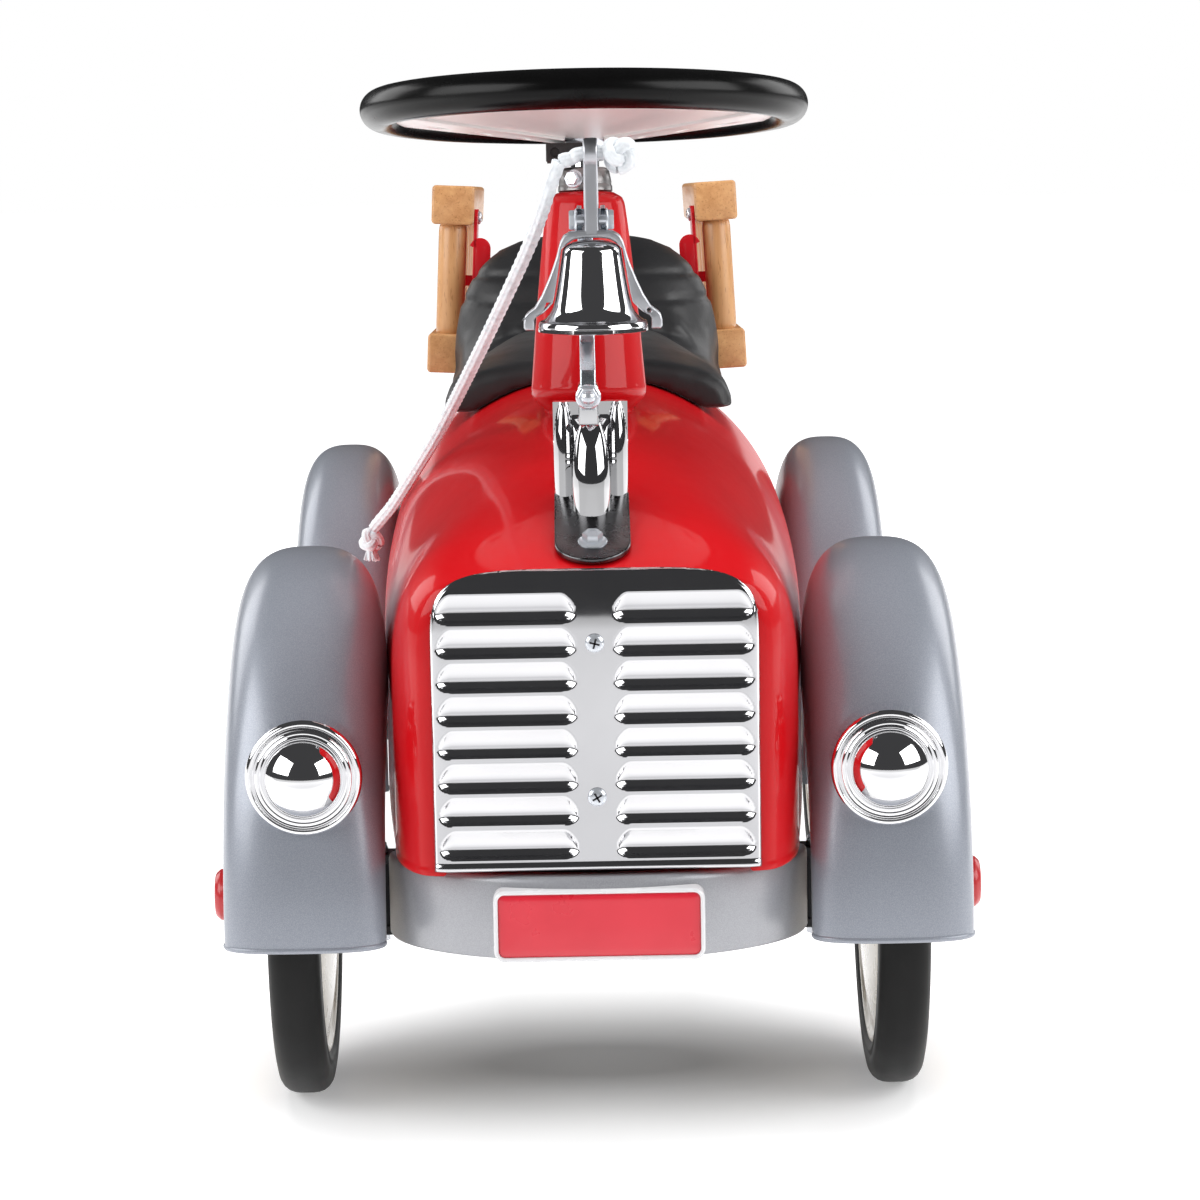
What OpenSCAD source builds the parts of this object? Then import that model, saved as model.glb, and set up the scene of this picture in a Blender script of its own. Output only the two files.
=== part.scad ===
// Foot-to-floor ride-on fire car for a small child.
// +Z is up, the front of the car faces -Y, and the origin is on the floor under the middle of the car.

/* [Body] */
// Half of the overall length, from the middle to the number plate or to the tail
half_length = 387.5; // [380:0.5:395]
// Height of the body's open lower edge above the floor
body_base_z = 131; // [128:1:136]
// Height of the body's highest ridge
ridge_z = 320; // [312:1:326]
// Half of the body's greatest width
body_half_w = 109.5; // [106:0.5:110]
// Sheet thickness of the body and the fenders
sheet = 1.6; // [1.2:0.2:2.4]

/* [Nose and grille] */
// Y of the flat nose face behind the grille
nose_y = -376; // [-377:0.5:-374]
// Half of the grille's width
grille_half_w = 73; // [70:1:75]
// Number of louvre rows
louvre_rows = 8; // [6:1:8]
// Height from one louvre row to the next
louvre_pitch = 15.1; // [14:0.1:15.2]
// Half the height of a louvre's groove
groove_half_h = 6.3; // [5:0.1:6.8]

/* [Bumper] */
// Half of the bumper's width
bumper_half_w = 96; // [94:1:98]
// Depth of the bumper's bow, from its ends to its front
bumper_depth = 65; // [60:1:66]
// Height of the bumper's lower edge above the floor
bumper_low_z = 93; // [90:1:98]
// Width of the number plate's frame
plate_w = 94; // [80:1:100]

/* [Fenders] */
// X of the fenders' outer faces
fender_out_x = 169.5; // [168:0.5:173]
// Height of the fenders' crowns above the floor
fender_top_z = 262; // [255:1:266]
// Distance from the axle to a fender's front or rear hem
fender_reach = 123; // [120:1:126]
// Radius of the round wheel openings
wheel_arch_r = 106; // [104:1:108]

/* [Wheels] */
// Outer diameter of the tyres
tyre_d = 190; // [186:1:192]
// Width of the tyres
tyre_w = 24; // [20:1:26]
// Distance between the front and rear axles
wheelbase = 450; // [446:1:454]
// X of the middle plane of the wheels
wheel_x = 140; // [139:0.5:142]
// Radius of the axle stubs
axle_r = 5; // [4.5:0.1:5.5]
// X of the outer end of the red hub caps
hub_cap_x = 179; // [177:0.5:182]

/* [Steering] */
// Lean of the steering column from upright, in degrees
column_tilt = 6.4; // [5:0.1:8]
// Radius of the steering wheel's ring, to the middle of its tube
rim_r = 100.8; // [95:0.1:103]
// Radius of the steering wheel's tube
rim_tube_r = 9.5; // [8:0.1:11]
// Height of the ring's centre above the floor
rim_z = 464; // [460:1:468]
// Radius of the steering shaft
shaft_r = 7; // [6:0.1:8]

/* [Bell] */
// Radius of the bell's mouth
bell_r = 24.8; // [22:0.1:26]
// Sideways offset of the bell from the middle of the car
bell_x = 2; // [0:0.5:3]
// Radius of the rope
rope_r = 3.4; // [2.5:0.1:3.5]

/* [Ladders] */
// Length of the ladders
ladder_l = 234; // [200:1:240]
// Number of rungs in each ladder
rungs = 5; // [3:1:5]

/* [Hidden] */
$fn = 48;
SIDES = ["left", "right"];

// Clearances: a running fit, a face gap between moving pieces, and a gap between fixed pieces
fit = 0.06;
gap = 0.4;
seam = 0.3;

// Wheels and axles
front_y = -245;
rear_y = front_y + wheelbase;
axle_z = tyre_d / 2;
hub_half = 17;
hub_cap_r = 12.4;
kingpin_x = 108;
kingpin_r = 5;
sleeve_half = 15;
arm_l = 50;
link_pin_r = 3;
bar_z = axle_z - 11;
bar_t = 3;

// Steering column
rim_y = -140;
crank_l = 30;
crank_z = -368;
cover_top = -42;

// Bell, its stand and its rope
bell_y = -318;
bell_mouth_z = 368;
bell_h = 41;
pivot_z = 418;
rope_hole_z = 448;
strap_y = -326;
bolt_x = -0.8;
rib_y = -324;
foot_y = -347;
foot_slope = 19.4;
rope_route = [[-12, -318, 444], [-16, -315, 434], [-20, -307, 422], [-27, -287, 404], [-41, -252, 374],
    [-57, -205, 341], [-74, -142, 307], [-84, -104, 289], [-94, -66, 272], [-104, -38, 256], [-111, -26, 247],
    [-115, -22, 242]];

exit_dir = [-0.79, 0, -0.61];
end_dir = [-0.3, 0.3, -0.9];

// Headlights
light_x = 131;
light_y = -362;
light_z = 174;
light_r = 26.2;

// Grille
grille_t = 4;
groove_depth = 2.6;

// Seat and ladders
seat_front_y = -20;
seat_back_y = 135;
seat_low_z = 302;
seat_half_w = 75;
ladder_at = [74.3, 140, 404.5];
ladder_pitch = 2.5;
ladder_roll = 2.9;
rail_w = 24;
rail_h = 22;
rail_drop = 84;
rung_r = 8;
rung_first = 14;
rung_step = 52;

// ---- Body outline ----

// Half width of the body at y, before the nose is rounded
function barrel_w(y) = y < 90 ? body_half_w - 12 * pow((90 - y) / 345, 2) : body_half_w;
// Half width of the body at y, with its rounded nose corners and its boat tail
function body_w(y) =
    y < -320 ? grille_half_w + (barrel_w(-320) - grille_half_w) * sqrt(max(0, 1 - pow((-320 - y) / (-320 - nose_y), 2)))
    : y > 230 ? max(8, body_half_w * pow(max(0, 1 - pow((y - 230) / (half_length - 230), 2.5)), 0.4))
    : barrel_w(y);
// Height of the body's ridge at y: a hood that falls to the nose and a tail that falls to the rear
function body_top(y) =
    y < -100 ? ridge_z - 34.2 * pow((-100 - y) / 220, 2)
    : y > 60 ? ridge_z - 130 * pow((y - 60) / 325, 2.2)
    : ridge_z;
// Height where the body's straight sides turn into its arch
function body_spring(y) = body_base_z + 0.418 * (body_top(y) - body_base_z);
// Squareness of the arch: a round barrel, with a squarer nose
function body_power(y) = 2 + (y < -200 ? 4 * pow((-200 - y) / 176, 3) : 0);
// One point of an arch, at angle a from the +X side
function arch(w, h, n, a) =
    [w * sign(cos(a)) * pow(abs(cos(a)), 2 / n), h * pow(abs(sin(a)), 2 / n)];
// The body's arch at y, drawn in by t, from the left lower edge to the right one
function body_ring(y, t, steps) = let(w = body_w(y) - t, z = body_spring(y), h = body_top(y) - t - z)
    concat([[-w, y, body_base_z]],
        [for (i = [0:steps]) let(p = arch(w, h, body_power(y), 180 - 180 * i / steps)) [p[0], y, z + p[1]]],
        [[w, y, body_base_z]]);

// ---- Lofts ----

// The side faces between rings of m points, as triangles
function loft_sides(rows, m, closed, start) =
    [for (i = [0:rows - 2], k = [0:m - (closed ? 1 : 2)], side = [0, 1])
        let(a = start + i * m + k, b = start + i * m + (k + 1) % m)
        side == 0 ? [a, b + m, b] : [a, a + m, b + m]];
function flipped(faces) = [for (f = faces) [for (i = [len(f) - 1:-1:0]) f[i]]];

// A solid through closed rings, with flat ends
module ring_loft(rings) {
    m = len(rings[0]);
    rows = len(rings);
    polyhedron([for (r = rings, p = r) p],
        concat([[for (k = [0:m - 1]) k]], loft_sides(rows, m, true, 0), [[for (k = [m - 1:-1:0]) (rows - 1) * m + k]]));
}

// A shell between outer and inner arches, closed at both ends and open below
module arch_shell(outer, inner) {
    m = len(outer[0]);
    rows = len(outer);
    n = rows * m;
    last = (rows - 1) * m;
    left_rim = [for (i = [0:rows - 2]) [i * m, n + i * m, n + (i + 1) * m, (i + 1) * m]];
    right_rim = [for (i = [0:rows - 2]) let(a = i * m + m - 1) [a, a + m, n + a + m, n + a]];
    polyhedron([for (r = concat(outer, inner), p = r) p],
        concat([[for (k = [0:m - 1]) k]], loft_sides(rows, m, false, 0), [[for (k = [m - 1:-1:0]) last + k]],
            [[for (k = [m - 1:-1:0]) n + k]], flipped(loft_sides(rows, m, false, n)),
            [[for (k = [0:m - 1]) n + last + k]], left_rim, right_rim,
            [[0, m - 1, n + m - 1, n], [last, n + last, n + last + m - 1, last + m - 1]]));
}

// ---- Placing ----

module on_column() translate([0, rim_y, rim_z]) rotate([-column_tilt, 0, 0]) children();
module x_axis_at(x, y, z) translate([x, y, z]) rotate([0, 90, 0]) children();
module flip(side) mirror([side == "left" ? 1 : 0, 0, 0]) children();
module both_sides() for (side = SIDES) flip(side) children();
// A pan head with a cross recess, its seat at z = 0
module pan_head(r, h) difference() {
    intersection() {
        cylinder(r = r, h = h);
        translate([0, 0, h - 1.6 * r]) sphere(r = 1.6 * r);
    }
    for (a = [0, 90]) rotate(a) translate([-0.65 * r, -0.12 * r, h - 0.45 * h]) cube([1.3 * r, 0.24 * r, h]);
}
module hex_head(r, h) intersection() {
    cylinder(r = r, h = h, $fn = 6);
    cylinder(r1 = 1.06 * r, r2 = 0.9 * r, h = h);
}

// ---- Body, chassis and nose ----

module body_shell() color("firebrick") {
    steps = 26;
    rows = 30;
    length = half_length - nose_y;
    ys = [for (i = [0:rows]) nose_y + length * (1 - cos(180 * i / rows)) / 2];
    difference() {
        arch_shell([for (y = ys) body_ring(y, 0, steps)],
            [for (y = ys) let(p = body_ring(y, sheet, steps), c = min(max(y, nose_y + sheet), half_length - sheet))
                [for (q = p) [q[0], c, q[2]]]]);
        on_column() translate([0, 0, -170]) cylinder(r = 16, h = 50);
    }
}

module floor_pan() color("dimgray") {
    back = [for (i = [0:24]) let(y = -319 + (half_length - 12 + 319) * i / 24) [body_w(y) - sheet - 0.4, y]];
    lip = [for (a = [0:7.5:90]) [80 * cos(a), -319 - 50 * sin(a)]];
    half = concat([for (i = [12:-1:0]) lip[i]], back);
    difference() {
        translate([0, 0, body_base_z - 2]) linear_extrude(2)
            polygon(concat(half, [for (i = [len(half) - 1:-1:0]) [-half[i][0], half[i][1]]]));
        on_column() translate([0, 0, -350]) cylinder(r = 16, h = 40);
    }
}

// Two box rails, the bumper arms and a cross bar that carries the lower steering bearing
module chassis() color("dimgray") {
    rail_top = body_base_z - 2;
    difference() {
        union() {
            both_sides() {
                translate([54, -340, axle_z + 13]) cube([12, 670, rail_top - axle_z - 13]);
                translate([57, -363, axle_z + 16]) cube([6, 24, 14]);
            }
            translate([-60, 300, axle_z + 18]) cube([120, 20, rail_top - axle_z - 18]);
            on_column() translate([-56, -14, -352]) cube([112, 28, 6]);
            on_column() translate([0, 0, -356]) cylinder(r = 14, h = 16);
        }
        on_column() translate([0, 0, -370]) cylinder(r = shaft_r + fit, h = 40);
    }
}

module grille_outline() intersection() {
    translate([-grille_half_w, body_base_z + 2]) square([2 * grille_half_w, 150]);
    union() {
        translate([-grille_half_w, body_base_z + 2]) square([2 * grille_half_w, 110]);
        polygon([for (a = [0:4:180]) let(p = arch(grille_half_w, 45, 5, a)) [p[0], body_base_z + 92 + p[1]]]);
    }
}
module grille() color("silver") {
    face_y = nose_y - seam - grille_t;
    groove_l = 61;
    // Radius whose cap is as wide and as deep as a groove
    cutter_r = (pow(groove_half_h, 2) + pow(groove_depth, 2)) / (2 * groove_depth);
    end_x = groove_l / 2 - groove_half_h;
    first_z = body_base_z + 14.5;
    difference() {
        translate([0, nose_y - seam, 0]) rotate([90, 0, 0]) linear_extrude(grille_t) grille_outline();
        for (row = [0:louvre_rows - 1], s = [-1, 1])
            translate([s * 39.2, face_y - cutter_r + groove_depth, first_z + row * louvre_pitch]) {
                rotate([0, 90, 0]) cylinder(r = cutter_r, h = 2 * end_x, center = true);
                for (e = [-1, 1]) translate([e * end_x, 0, 0]) sphere(r = cutter_r);
            }
    }
    x_axis_at(-grille_half_w, face_y, body_base_z + 4) cylinder(r = 1.5, h = 2 * grille_half_w);
}
module grille_screws() color("lightgray")
    for (z = [166.5, 235.5]) translate([0, nose_y - seam - grille_t, z]) rotate([90, 0, 0]) pan_head(3.9, 2.4);

// One half ellipse, as wide and as deep as asked, that bows to the front
function bow(w, d) = [for (a = [180:6:360]) [w * cos(a), -320 + d * sin(a)]];
module bumper_ring(w, d, t) polygon(concat(bow(w, d), [for (i = [30:-1:0]) bow(w - t, d - t)[i]]));
module plate_block(grow) {
    r = 5;
    h = 32.5;
    translate([0, -370, bumper_low_z + 0.6]) rotate([90, 0, 0]) linear_extrude(half_length - 370)
        for (x = [r - grow, plate_w - r + grow], z = [r - grow, h - r + grow])
            translate([x - plate_w / 2, z]) circle(r = r);
    translate([-plate_w / 2 - grow, -half_length, bumper_low_z + 0.6 + r])
        cube([plate_w + 2 * grow, half_length - 370, h - 2 * r]);
    translate([-plate_w / 2 + r, -half_length, bumper_low_z + 0.6 - grow])
        cube([plate_w - 2 * r, half_length - 370, h + 2 * grow]);
}
module bumper() color("silver") difference() {
    union() {
        translate([0, 0, bumper_low_z]) linear_extrude(body_base_z - bumper_low_z)
            bumper_ring(bumper_half_w, bumper_depth, 4);
        translate([0, 0, body_base_z - 4]) linear_extrude(4) bumper_ring(bumper_half_w - 1, bumper_depth - 1, 13);
    }
    plate_block(0);
}
module plate_recess() translate([-plate_w / 2 + 3, -half_length - 1, bumper_low_z + 3.6])
    cube([plate_w - 6, 2.2, 26.5]);
module plate_frame() color("whitesmoke") difference() {
    plate_block(0);
    plate_recess();
    translate([-plate_w / 2 + 4, -381, bumper_low_z + 4]) cube([plate_w - 8, 12, 25]);
}
module plate_panel() color("crimson")
    translate([-plate_w / 2 + 3, -half_length + 0.4, bumper_low_z + 3.6]) cube([plate_w - 6, 0.8, 26.5]);

// ---- Fenders and headlights ----

// Distance from the axle to a fender's crown at angle a, with 90 at the top
function crown(a, t) = 1 / sqrt(pow(cos(a) / (fender_reach - t), 2) + pow(sin(a) / (fender_top_z - 96 - t), 2));
// One side of the sheet, from the inner edge to the outer edge
function fender_arc(cy, in_x, a, t, steps) =
    [for (i = [0:steps])
        let(c = -cos(180 * i / steps),
            r = wheel_arch_r + (crown(a, t) - wheel_arch_r) * pow(max(0, 1 - pow(abs(c), 2.9)), 1 / 2.9),
            y = cy - r * cos(a),
            x0 = max(in_x, body_w(y)) + seam + t)
        [x0 + (fender_out_x - t - x0) * (c + 1) / 2, y, 96 + r * sin(a)]];
module fender(cy, in_x, from, to) color("lightsteelblue") {
    steps = 14;
    rows = 24;
    ring_loft([for (j = [0:rows]) let(a = from + (to - from) * j / rows, inner = fender_arc(cy, in_x, a, sheet, steps))
        concat(fender_arc(cy, in_x, a, 0, steps), [for (i = [steps:-1:0]) inner[i]])]);
}

module fender_front(side) flip(side) difference() {
    fender(front_y, 96, 0, 165);
    color("lightsteelblue") translate([light_x, light_y - 30, light_z]) rotate([-90, 0, 0])
        cylinder(r = light_r + seam, h = 80);
}
module fender_rear(side) flip(side) fender(rear_y, body_half_w - 1, 12, 180);
// A chromed cup that passes through the fender, with a stepped bezel and a domed face
module headlight(side) color("silver") flip(side) translate([light_x, light_y, light_z]) rotate([90, 0, 0]) {
    dome_r = 17.2;
    translate([0, 0, -26]) cylinder(r = light_r, h = 26);
    rotate_extrude() {
        translate([light_r - 2.4, 0]) circle(r = 2.4);
        translate([light_r - 6.6, 1]) circle(r = 2);
    }
    cylinder(r = light_r - 2.4, h = 1.5);
    intersection() {
        translate([0, 0, -4]) sphere(r = dome_r + 2.5);
        cylinder(r = dome_r, h = 20);
    }
}

// ---- Seat ----

// Height of the seat's top line at y: a low pan that sweeps up into the backrest
function seat_top(y) = let(u = min(1, max(0, (y - 92) / 34)), e = min(1, max(0, (y - 128) / 10)))
    327 + 5 * min(1, (y - seat_front_y) / 30) + 56 * u * u * (3 - 2 * u) - 7 * e * e;
function seat_ring(y) =
    let(steps = 22, n = body_power(y), over = 0.5, w = body_w(y) + over, s = body_spring(y), h = body_top(y) - s + over,
        low = asin(pow((seat_low_z - s) / h, n / 2)))
    concat(
        [for (i = [0:steps]) let(p = arch(seat_half_w, seat_top(y) - seat_low_z, 2.5, 180 - 180 * i / steps))
            [p[0], y, seat_low_z + p[1]]],
        [for (i = [0:steps]) let(p = arch(w, h, n, low + (180 - 2 * low) * i / steps)) [p[0], y, s + p[1]]]);
module seat() color("dimgray") {
    rows = 20;
    ring_loft([for (j = [0:rows]) seat_ring(seat_front_y + (seat_back_y - seat_front_y) * j / rows)]);
}

// ---- Bell ----

// Outer radius of the bell at height h above its mouth
function bell_skin(h) = h > 35 ? 11.8 * sqrt(max(0, 1 - pow((h - 35) / (bell_h - 35), 2)))
    : 11.8 + 0.2 * (35 - h) + 5 * exp(-(h - 5) / 3.4);
module at_bell() translate([bell_x, bell_y, bell_mouth_z]) children();
module bell() color("silver") at_bell() {
    wall = 1.6;
    crown_h = [for (a = [0:15:75]) 35 + (bell_h - 35) * sin(a)];
    heights = concat([for (h = [5:3:32]) h], crown_h);
    outer = [for (h = heights) [bell_skin(h), h]];
    inner = [for (i = [len(heights) - 1:-1:0]) [bell_skin(heights[i]) - wall, heights[i] - wall]];
    top_h = heights[len(heights) - 1];
    rotate_extrude() polygon(concat([[bell_skin(5) - wall + 0.8, 0], [bell_r, 0], [bell_r, 2.2], [bell_r - 0.8, 2.6],
        [bell_r, 3], [bell_r, 5]], outer, [[0, top_h], [0, top_h - wall]], inner));
    // A pin bracket under the crown
    for (s = [-1, 1]) difference() {
        translate([s * 3.6 - 0.6, -2.5, bell_h - 11]) cube([1.2, 5, 10]);
        x_axis_at(s * 3.6 - 1, 0, bell_h - 8) cylinder(r = 1 + fit, h = 2);
    }
}
module clapper() color("gray") at_bell() {
    x_axis_at(-4.6, 0, bell_h - 8) cylinder(r = 1, h = 9.2);
    translate([0, 0, 9]) cylinder(r = 1.3, h = bell_h - 17);
    translate([0, 0, 8]) sphere(r = 5.5);
}

// Two arms outside the bell, two ears at its rim and an upright lever with an eye for the rope
module yoke_half() {
    clear = 1;
    top_h = bell_h + 1.2;
    arm_in = [for (h = [13:4:37]) [bell_skin(h) + clear, h]];
    difference() {
        polygon(concat([[bell_r + 1.4, 1], [bell_r + 1.4, 5.6], [22.6, 8.4], [20.4, 10.4]], arm_in,
            [[11, 39.8], [8, 41.6], [0, top_h], [0, top_h + 2.2], [8, top_h + 2.2], [13.6, 42], [15, 37], [20, 23],
            [26, 11.4], [30, 8.4], [31, 6.4], [31, 1]]));
        polygon([[22.6, 9.9], [25.2, 9.9], [27.4, 7.9], [23.6, 8.9]]);
    }
}
module bell_yoke() color("lightgray") at_bell() {
    depth = 8;
    lift = pivot_z - bell_mouth_z;
    eye = rope_hole_z - bell_mouth_z;
    rotate([90, 0, 0]) translate([0, 0, -depth / 2]) linear_extrude(depth) {
        yoke_half();
        mirror([1, 0]) yoke_half();
    }
    difference() {
        union() {
            translate([-3.9, -depth / 2, bell_h + 2]) cube([7.8, depth, eye - bell_h - 2]);
            x_axis_at(-3.9, 0, eye) cylinder(r = 6.6, h = 7.8);
        }
        x_axis_at(-5, 0, lift) cylinder(r = 2.5 + fit, h = 10);
        x_axis_at(-5, 0, eye) cylinder(r = rope_r + 0.8, h = 10);
    }
}

// A strap that stands on the bell stand, passes behind the bell and forks at the pivot
module bell_hanger() color("slategray") translate([bell_x, 0, 0]) {
    ear_t = 2.2;
    ear_in = 3.9 + gap;
    half = ear_in + ear_t;
    back_y = bell_y + bell_r + 4.4;
    strap_t = 2.5;
    low_z = 333;
    rotate([90, 0, 90]) translate([0, 0, bolt_x - bell_x - 3.5]) linear_extrude(7)
        polygon([[strap_y, low_z], [strap_y, 348], [back_y - 1, 363], [back_y, 369], [back_y, pivot_z - 5],
            [back_y + strap_t, pivot_z - 5], [back_y + strap_t, 368], [back_y + 1.2, 361],
            [strap_y + strap_t, 346], [strap_y + strap_t, low_z]]);
    difference() {
        union() {
            translate([-half, back_y, pivot_z - 12]) cube([2 * half, strap_t, 16]);
            for (s = [-1, 1]) translate([s > 0 ? ear_in : -half, 0, 0]) {
                translate([0, bell_y, pivot_z - 4]) cube([ear_t, back_y - bell_y + strap_t, 8]);
                x_axis_at(0, bell_y, pivot_z) cylinder(r = 5, h = ear_t);
            }
        }
        x_axis_at(-20, bell_y, pivot_z) cylinder(r = 2.5, h = 40);
    }
}
module pivot_bolt() color("silver") translate([bell_x, bell_y, pivot_z]) rotate([0, 90, 0]) {
    reach = 3.9 + gap + 2.2;
    translate([0, 0, -reach]) cylinder(r = 2.5, h = 2 * reach);
    for (s = [0, 180]) rotate([s, 0, 0]) translate([0, 0, reach]) hex_head(4.4, 3.4);
}

// A plated casting: a foot with a round toe, and an upright with three convex ribs
module on_foot() translate([0, foot_y, body_top(foot_y) + 0.4]) rotate([foot_slope, 0, 0]) children();
module bell_stand() color("silver") {
    half = 17;
    back_y = -306;
    low_z = 255;
    difference() {
        union() {
            on_foot() {
                translate([-half, -8.5, 0]) cube([2 * half, 50, 3]);
                translate([0, -8.5, 0]) cylinder(r = half, h = 3);
            }
            translate([-half, back_y, low_z]) cube([2 * half, 6, 335 - low_z]);
            translate([-7, rib_y, low_z]) cube([14, back_y - rib_y + 6, 332 - low_z]);
            translate([bolt_x - 4.5, strap_y + 2.5, low_z]) cube([9, back_y - strap_y + 3.5, 345 - low_z]);
            linear_extrude(326) polygon([[-14, back_y], [-9, back_y - 6], [-4, rib_y - 7], [4, rib_y - 7],
                [9, back_y - 6], [14, back_y]]);
            for (s = [-1, 1]) translate([s * 12.2, back_y, low_z]) {
                cylinder(r = 4.8, h = 327 - low_z);
                translate([0, 0, 327 - low_z]) cylinder(r1 = 4.8, r2 = 1, h = 9);
            }
            translate([0, rib_y, low_z]) {
                cylinder(r = 8.6, h = 320 - low_z);
                translate([0, 0, 320 - low_z]) cylinder(r1 = 8.6, r2 = 1.5, h = 12);
            }
        }
        on_foot() translate([-60, -300, -600]) cube([120, 600, 600]);
    }
}
module stand_bolts() color("lightgray") {
    on_foot() translate([0, -8.5, 3]) {
        cylinder(r = 6.4, h = 1);
        hex_head(4.6, 4.6);
    }
    translate([bolt_x, strap_y, 339]) rotate([90, 0, 0]) {
        cylinder(r = 5.6, h = 1);
        hex_head(4.8, 3.6);
        translate([0, 0, 3]) sphere(r = 3);
    }
}

// ---- Rope ----

function unit(v) = v / norm(v);
// A tube along the points, whose end faces are square to the two directions given
module tube_along(p, r, sides, first_dir, last_dir) ring_loft([for (i = [0:len(p) - 1])
    let(d = i == 0 ? first_dir : i == len(p) - 1 ? last_dir : unit(p[i + 1] - p[i - 1]),
        u = unit(cross(d, [0, 1, 0])), v = cross(d, u))
    [for (k = [0:sides - 1]) let(a = 360 * k / sides) p[i] + r * (cos(a) * u + sin(a) * v)]]);
// A Catmull-Rom curve through the route, with n steps between two of its points
function spline(p, n) = concat(
    [for (i = [0:len(p) - 2], j = [0:n - 1])
        let(t = j / n, a = p[max(0, i - 1)], b = p[i], c = p[i + 1], d = p[min(len(p) - 1, i + 2)])
        0.5 * (2 * b + (c - a) * t + (2 * a - 5 * b + 4 * c - d) * t * t + (3 * b - a - 3 * c + d) * t * t * t)],
    [p[len(p) - 1]]);
module rope() color("white") tube_along(spline(rope_route, 2), rope_r, 10, exit_dir, unit(end_dir));
// The knot beside the lever, and the rope's own stretch through the lever's eye
module rope_knot() color("white") {
    side_x = bell_x + 3.9;
    tube_along([[side_x + 5, bell_y, rope_hole_z], [side_x, bell_y, rope_hole_z], [bell_x - 4.5, bell_y, rope_hole_z - 0.5],
        [-6.5, bell_y + 1, rope_hole_z - 2.5], rope_route[0] - 0.5 * exit_dir], rope_r, 10, [-1, 0, 0], exit_dir);
    translate([side_x + 9.6, bell_y, rope_hole_z - 1]) sphere(r = 8.8);
}
module rope_end_knot() color("white") translate(rope_route[len(rope_route) - 1] + [-1.6, 1.6, -6.6]) {
    sphere(r = 6.6);
    translate([0, 0, -11]) cylinder(r1 = 5, r2 = 3, h = 8);
}

// ---- Steering ----

// A tapered sheet cover, cut along the hood it stands on
module column_cover() color("firebrick") difference() {
    on_column() difference() {
        rotate_extrude() polygon([[0, -154], [19.5, -154], [19.5, -149.6], [28.3, -139], [26.2, -112], [22, -69],
            [20.7, -57], [19.4, -48], [17.8, -44], [14.5, cover_top], [0, cover_top]]);
        translate([0, 0, -160]) cylinder(r = 17, h = 112);
        translate([0, 0, -160]) cylinder(r = shaft_r + fit, h = 130);
    }
    translate([-50, -150, body_top(-150) + seam]) rotate([4.04, 0, 0]) translate([0, -60, -60]) cube([100, 120, 60]);
}
module steering_shaft() color("silver") on_column() {
    translate([0, 0, crank_z]) cylinder(r = shaft_r, h = -crank_z - 16);
    translate([0, 0, -339]) cylinder(r = 11, h = 6);
    translate([0, 0, crank_z]) cylinder(r = 11, h = 5);
    translate([-7, 0, crank_z]) cube([14, crank_l, 5]);
    translate([0, crank_l, crank_z - 14]) cylinder(r = link_pin_r, h = 14);
    translate([0, crank_l, crank_z]) cylinder(r = 7, h = 5);
}
module shaft_collar() color("gray") on_column() difference() {
    translate([0, 0, cover_top + gap]) cylinder(r1 = 13.4, r2 = 11.4, h = 12);
    translate([0, 0, cover_top - 1]) cylinder(r = shaft_r, h = 30);
}
module collar_bolt() color("lightgray") on_column() rotate(-25) translate([0, -13.2, cover_top + 6.4])
    rotate([90, 0, 0]) hex_head(3.6, 4);
module steering_hub() color("silver") on_column() difference() {
    union() {
        translate([0, 0, -26]) cylinder(r = 9.5, h = 20);
        translate([0, 0, -11]) cylinder(r = 18, h = 8);
    }
    translate([0, 0, -30]) cylinder(r = shaft_r, h = 14);
    translate([0, 0, -9]) cylinder(r = 15.4, h = 10);
}
// A dished front sheet from the hub to the ring, and three fan-shaped spokes with drilled holes
module steering_spokes() color("silver") on_column() difference() {
    dish = 8;
    intersection() {
        union() {
            difference() {
                rotate_extrude() polygon([[8, -16], [100, -16 + 92 * tan(dish)], [100, -14.5 + 92 * tan(dish)], [8, -14.5]]);
                translate([-110, 0, -30]) cube([220, 120, 60]);
            }
            for (a = [0, 90, 180]) rotate(a) translate([8, 0, -17.2]) rotate([0, -dish, 0])
                linear_extrude(2.2) polygon([[0, -10], [90, -28], [90, 28], [0, 10]]);
        }
        translate([0, 0, -30]) cylinder(r = 94, h = 60);
    }
    for (p = [[30, 3.5], [50, 4.5], [71, 5.5]]) {
        for (s = [-1, 1]) translate([s * p[0], 7.5, -30]) cylinder(r = p[1], h = 40);
        translate([0, p[0], -30]) cylinder(r = p[1], h = 40);
    }
    translate([0, 0, -30]) cylinder(r = 9.5, h = 40);
}
module steering_rim() color("black") on_column() rotate_extrude($fn = 96) translate([rim_r, 0]) circle(r = rim_tube_r);
module horn_button() color("firebrick") on_column() translate([0, 0, -5.5]) {
    cylinder(r = 15, h = 5.5);
    intersection() {
        translate([0, 0, -17.7]) sphere(r = 29);
        cylinder(r = 15, h = 30);
    }
}
module horn_box() color("black") on_column() difference() {
    translate([-19, -9, -27]) cube([19, 18, 9.4]);
    translate([0, 0, -40]) cylinder(r = 9.5, h = 40);
}

// ---- Axles and links ----

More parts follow.
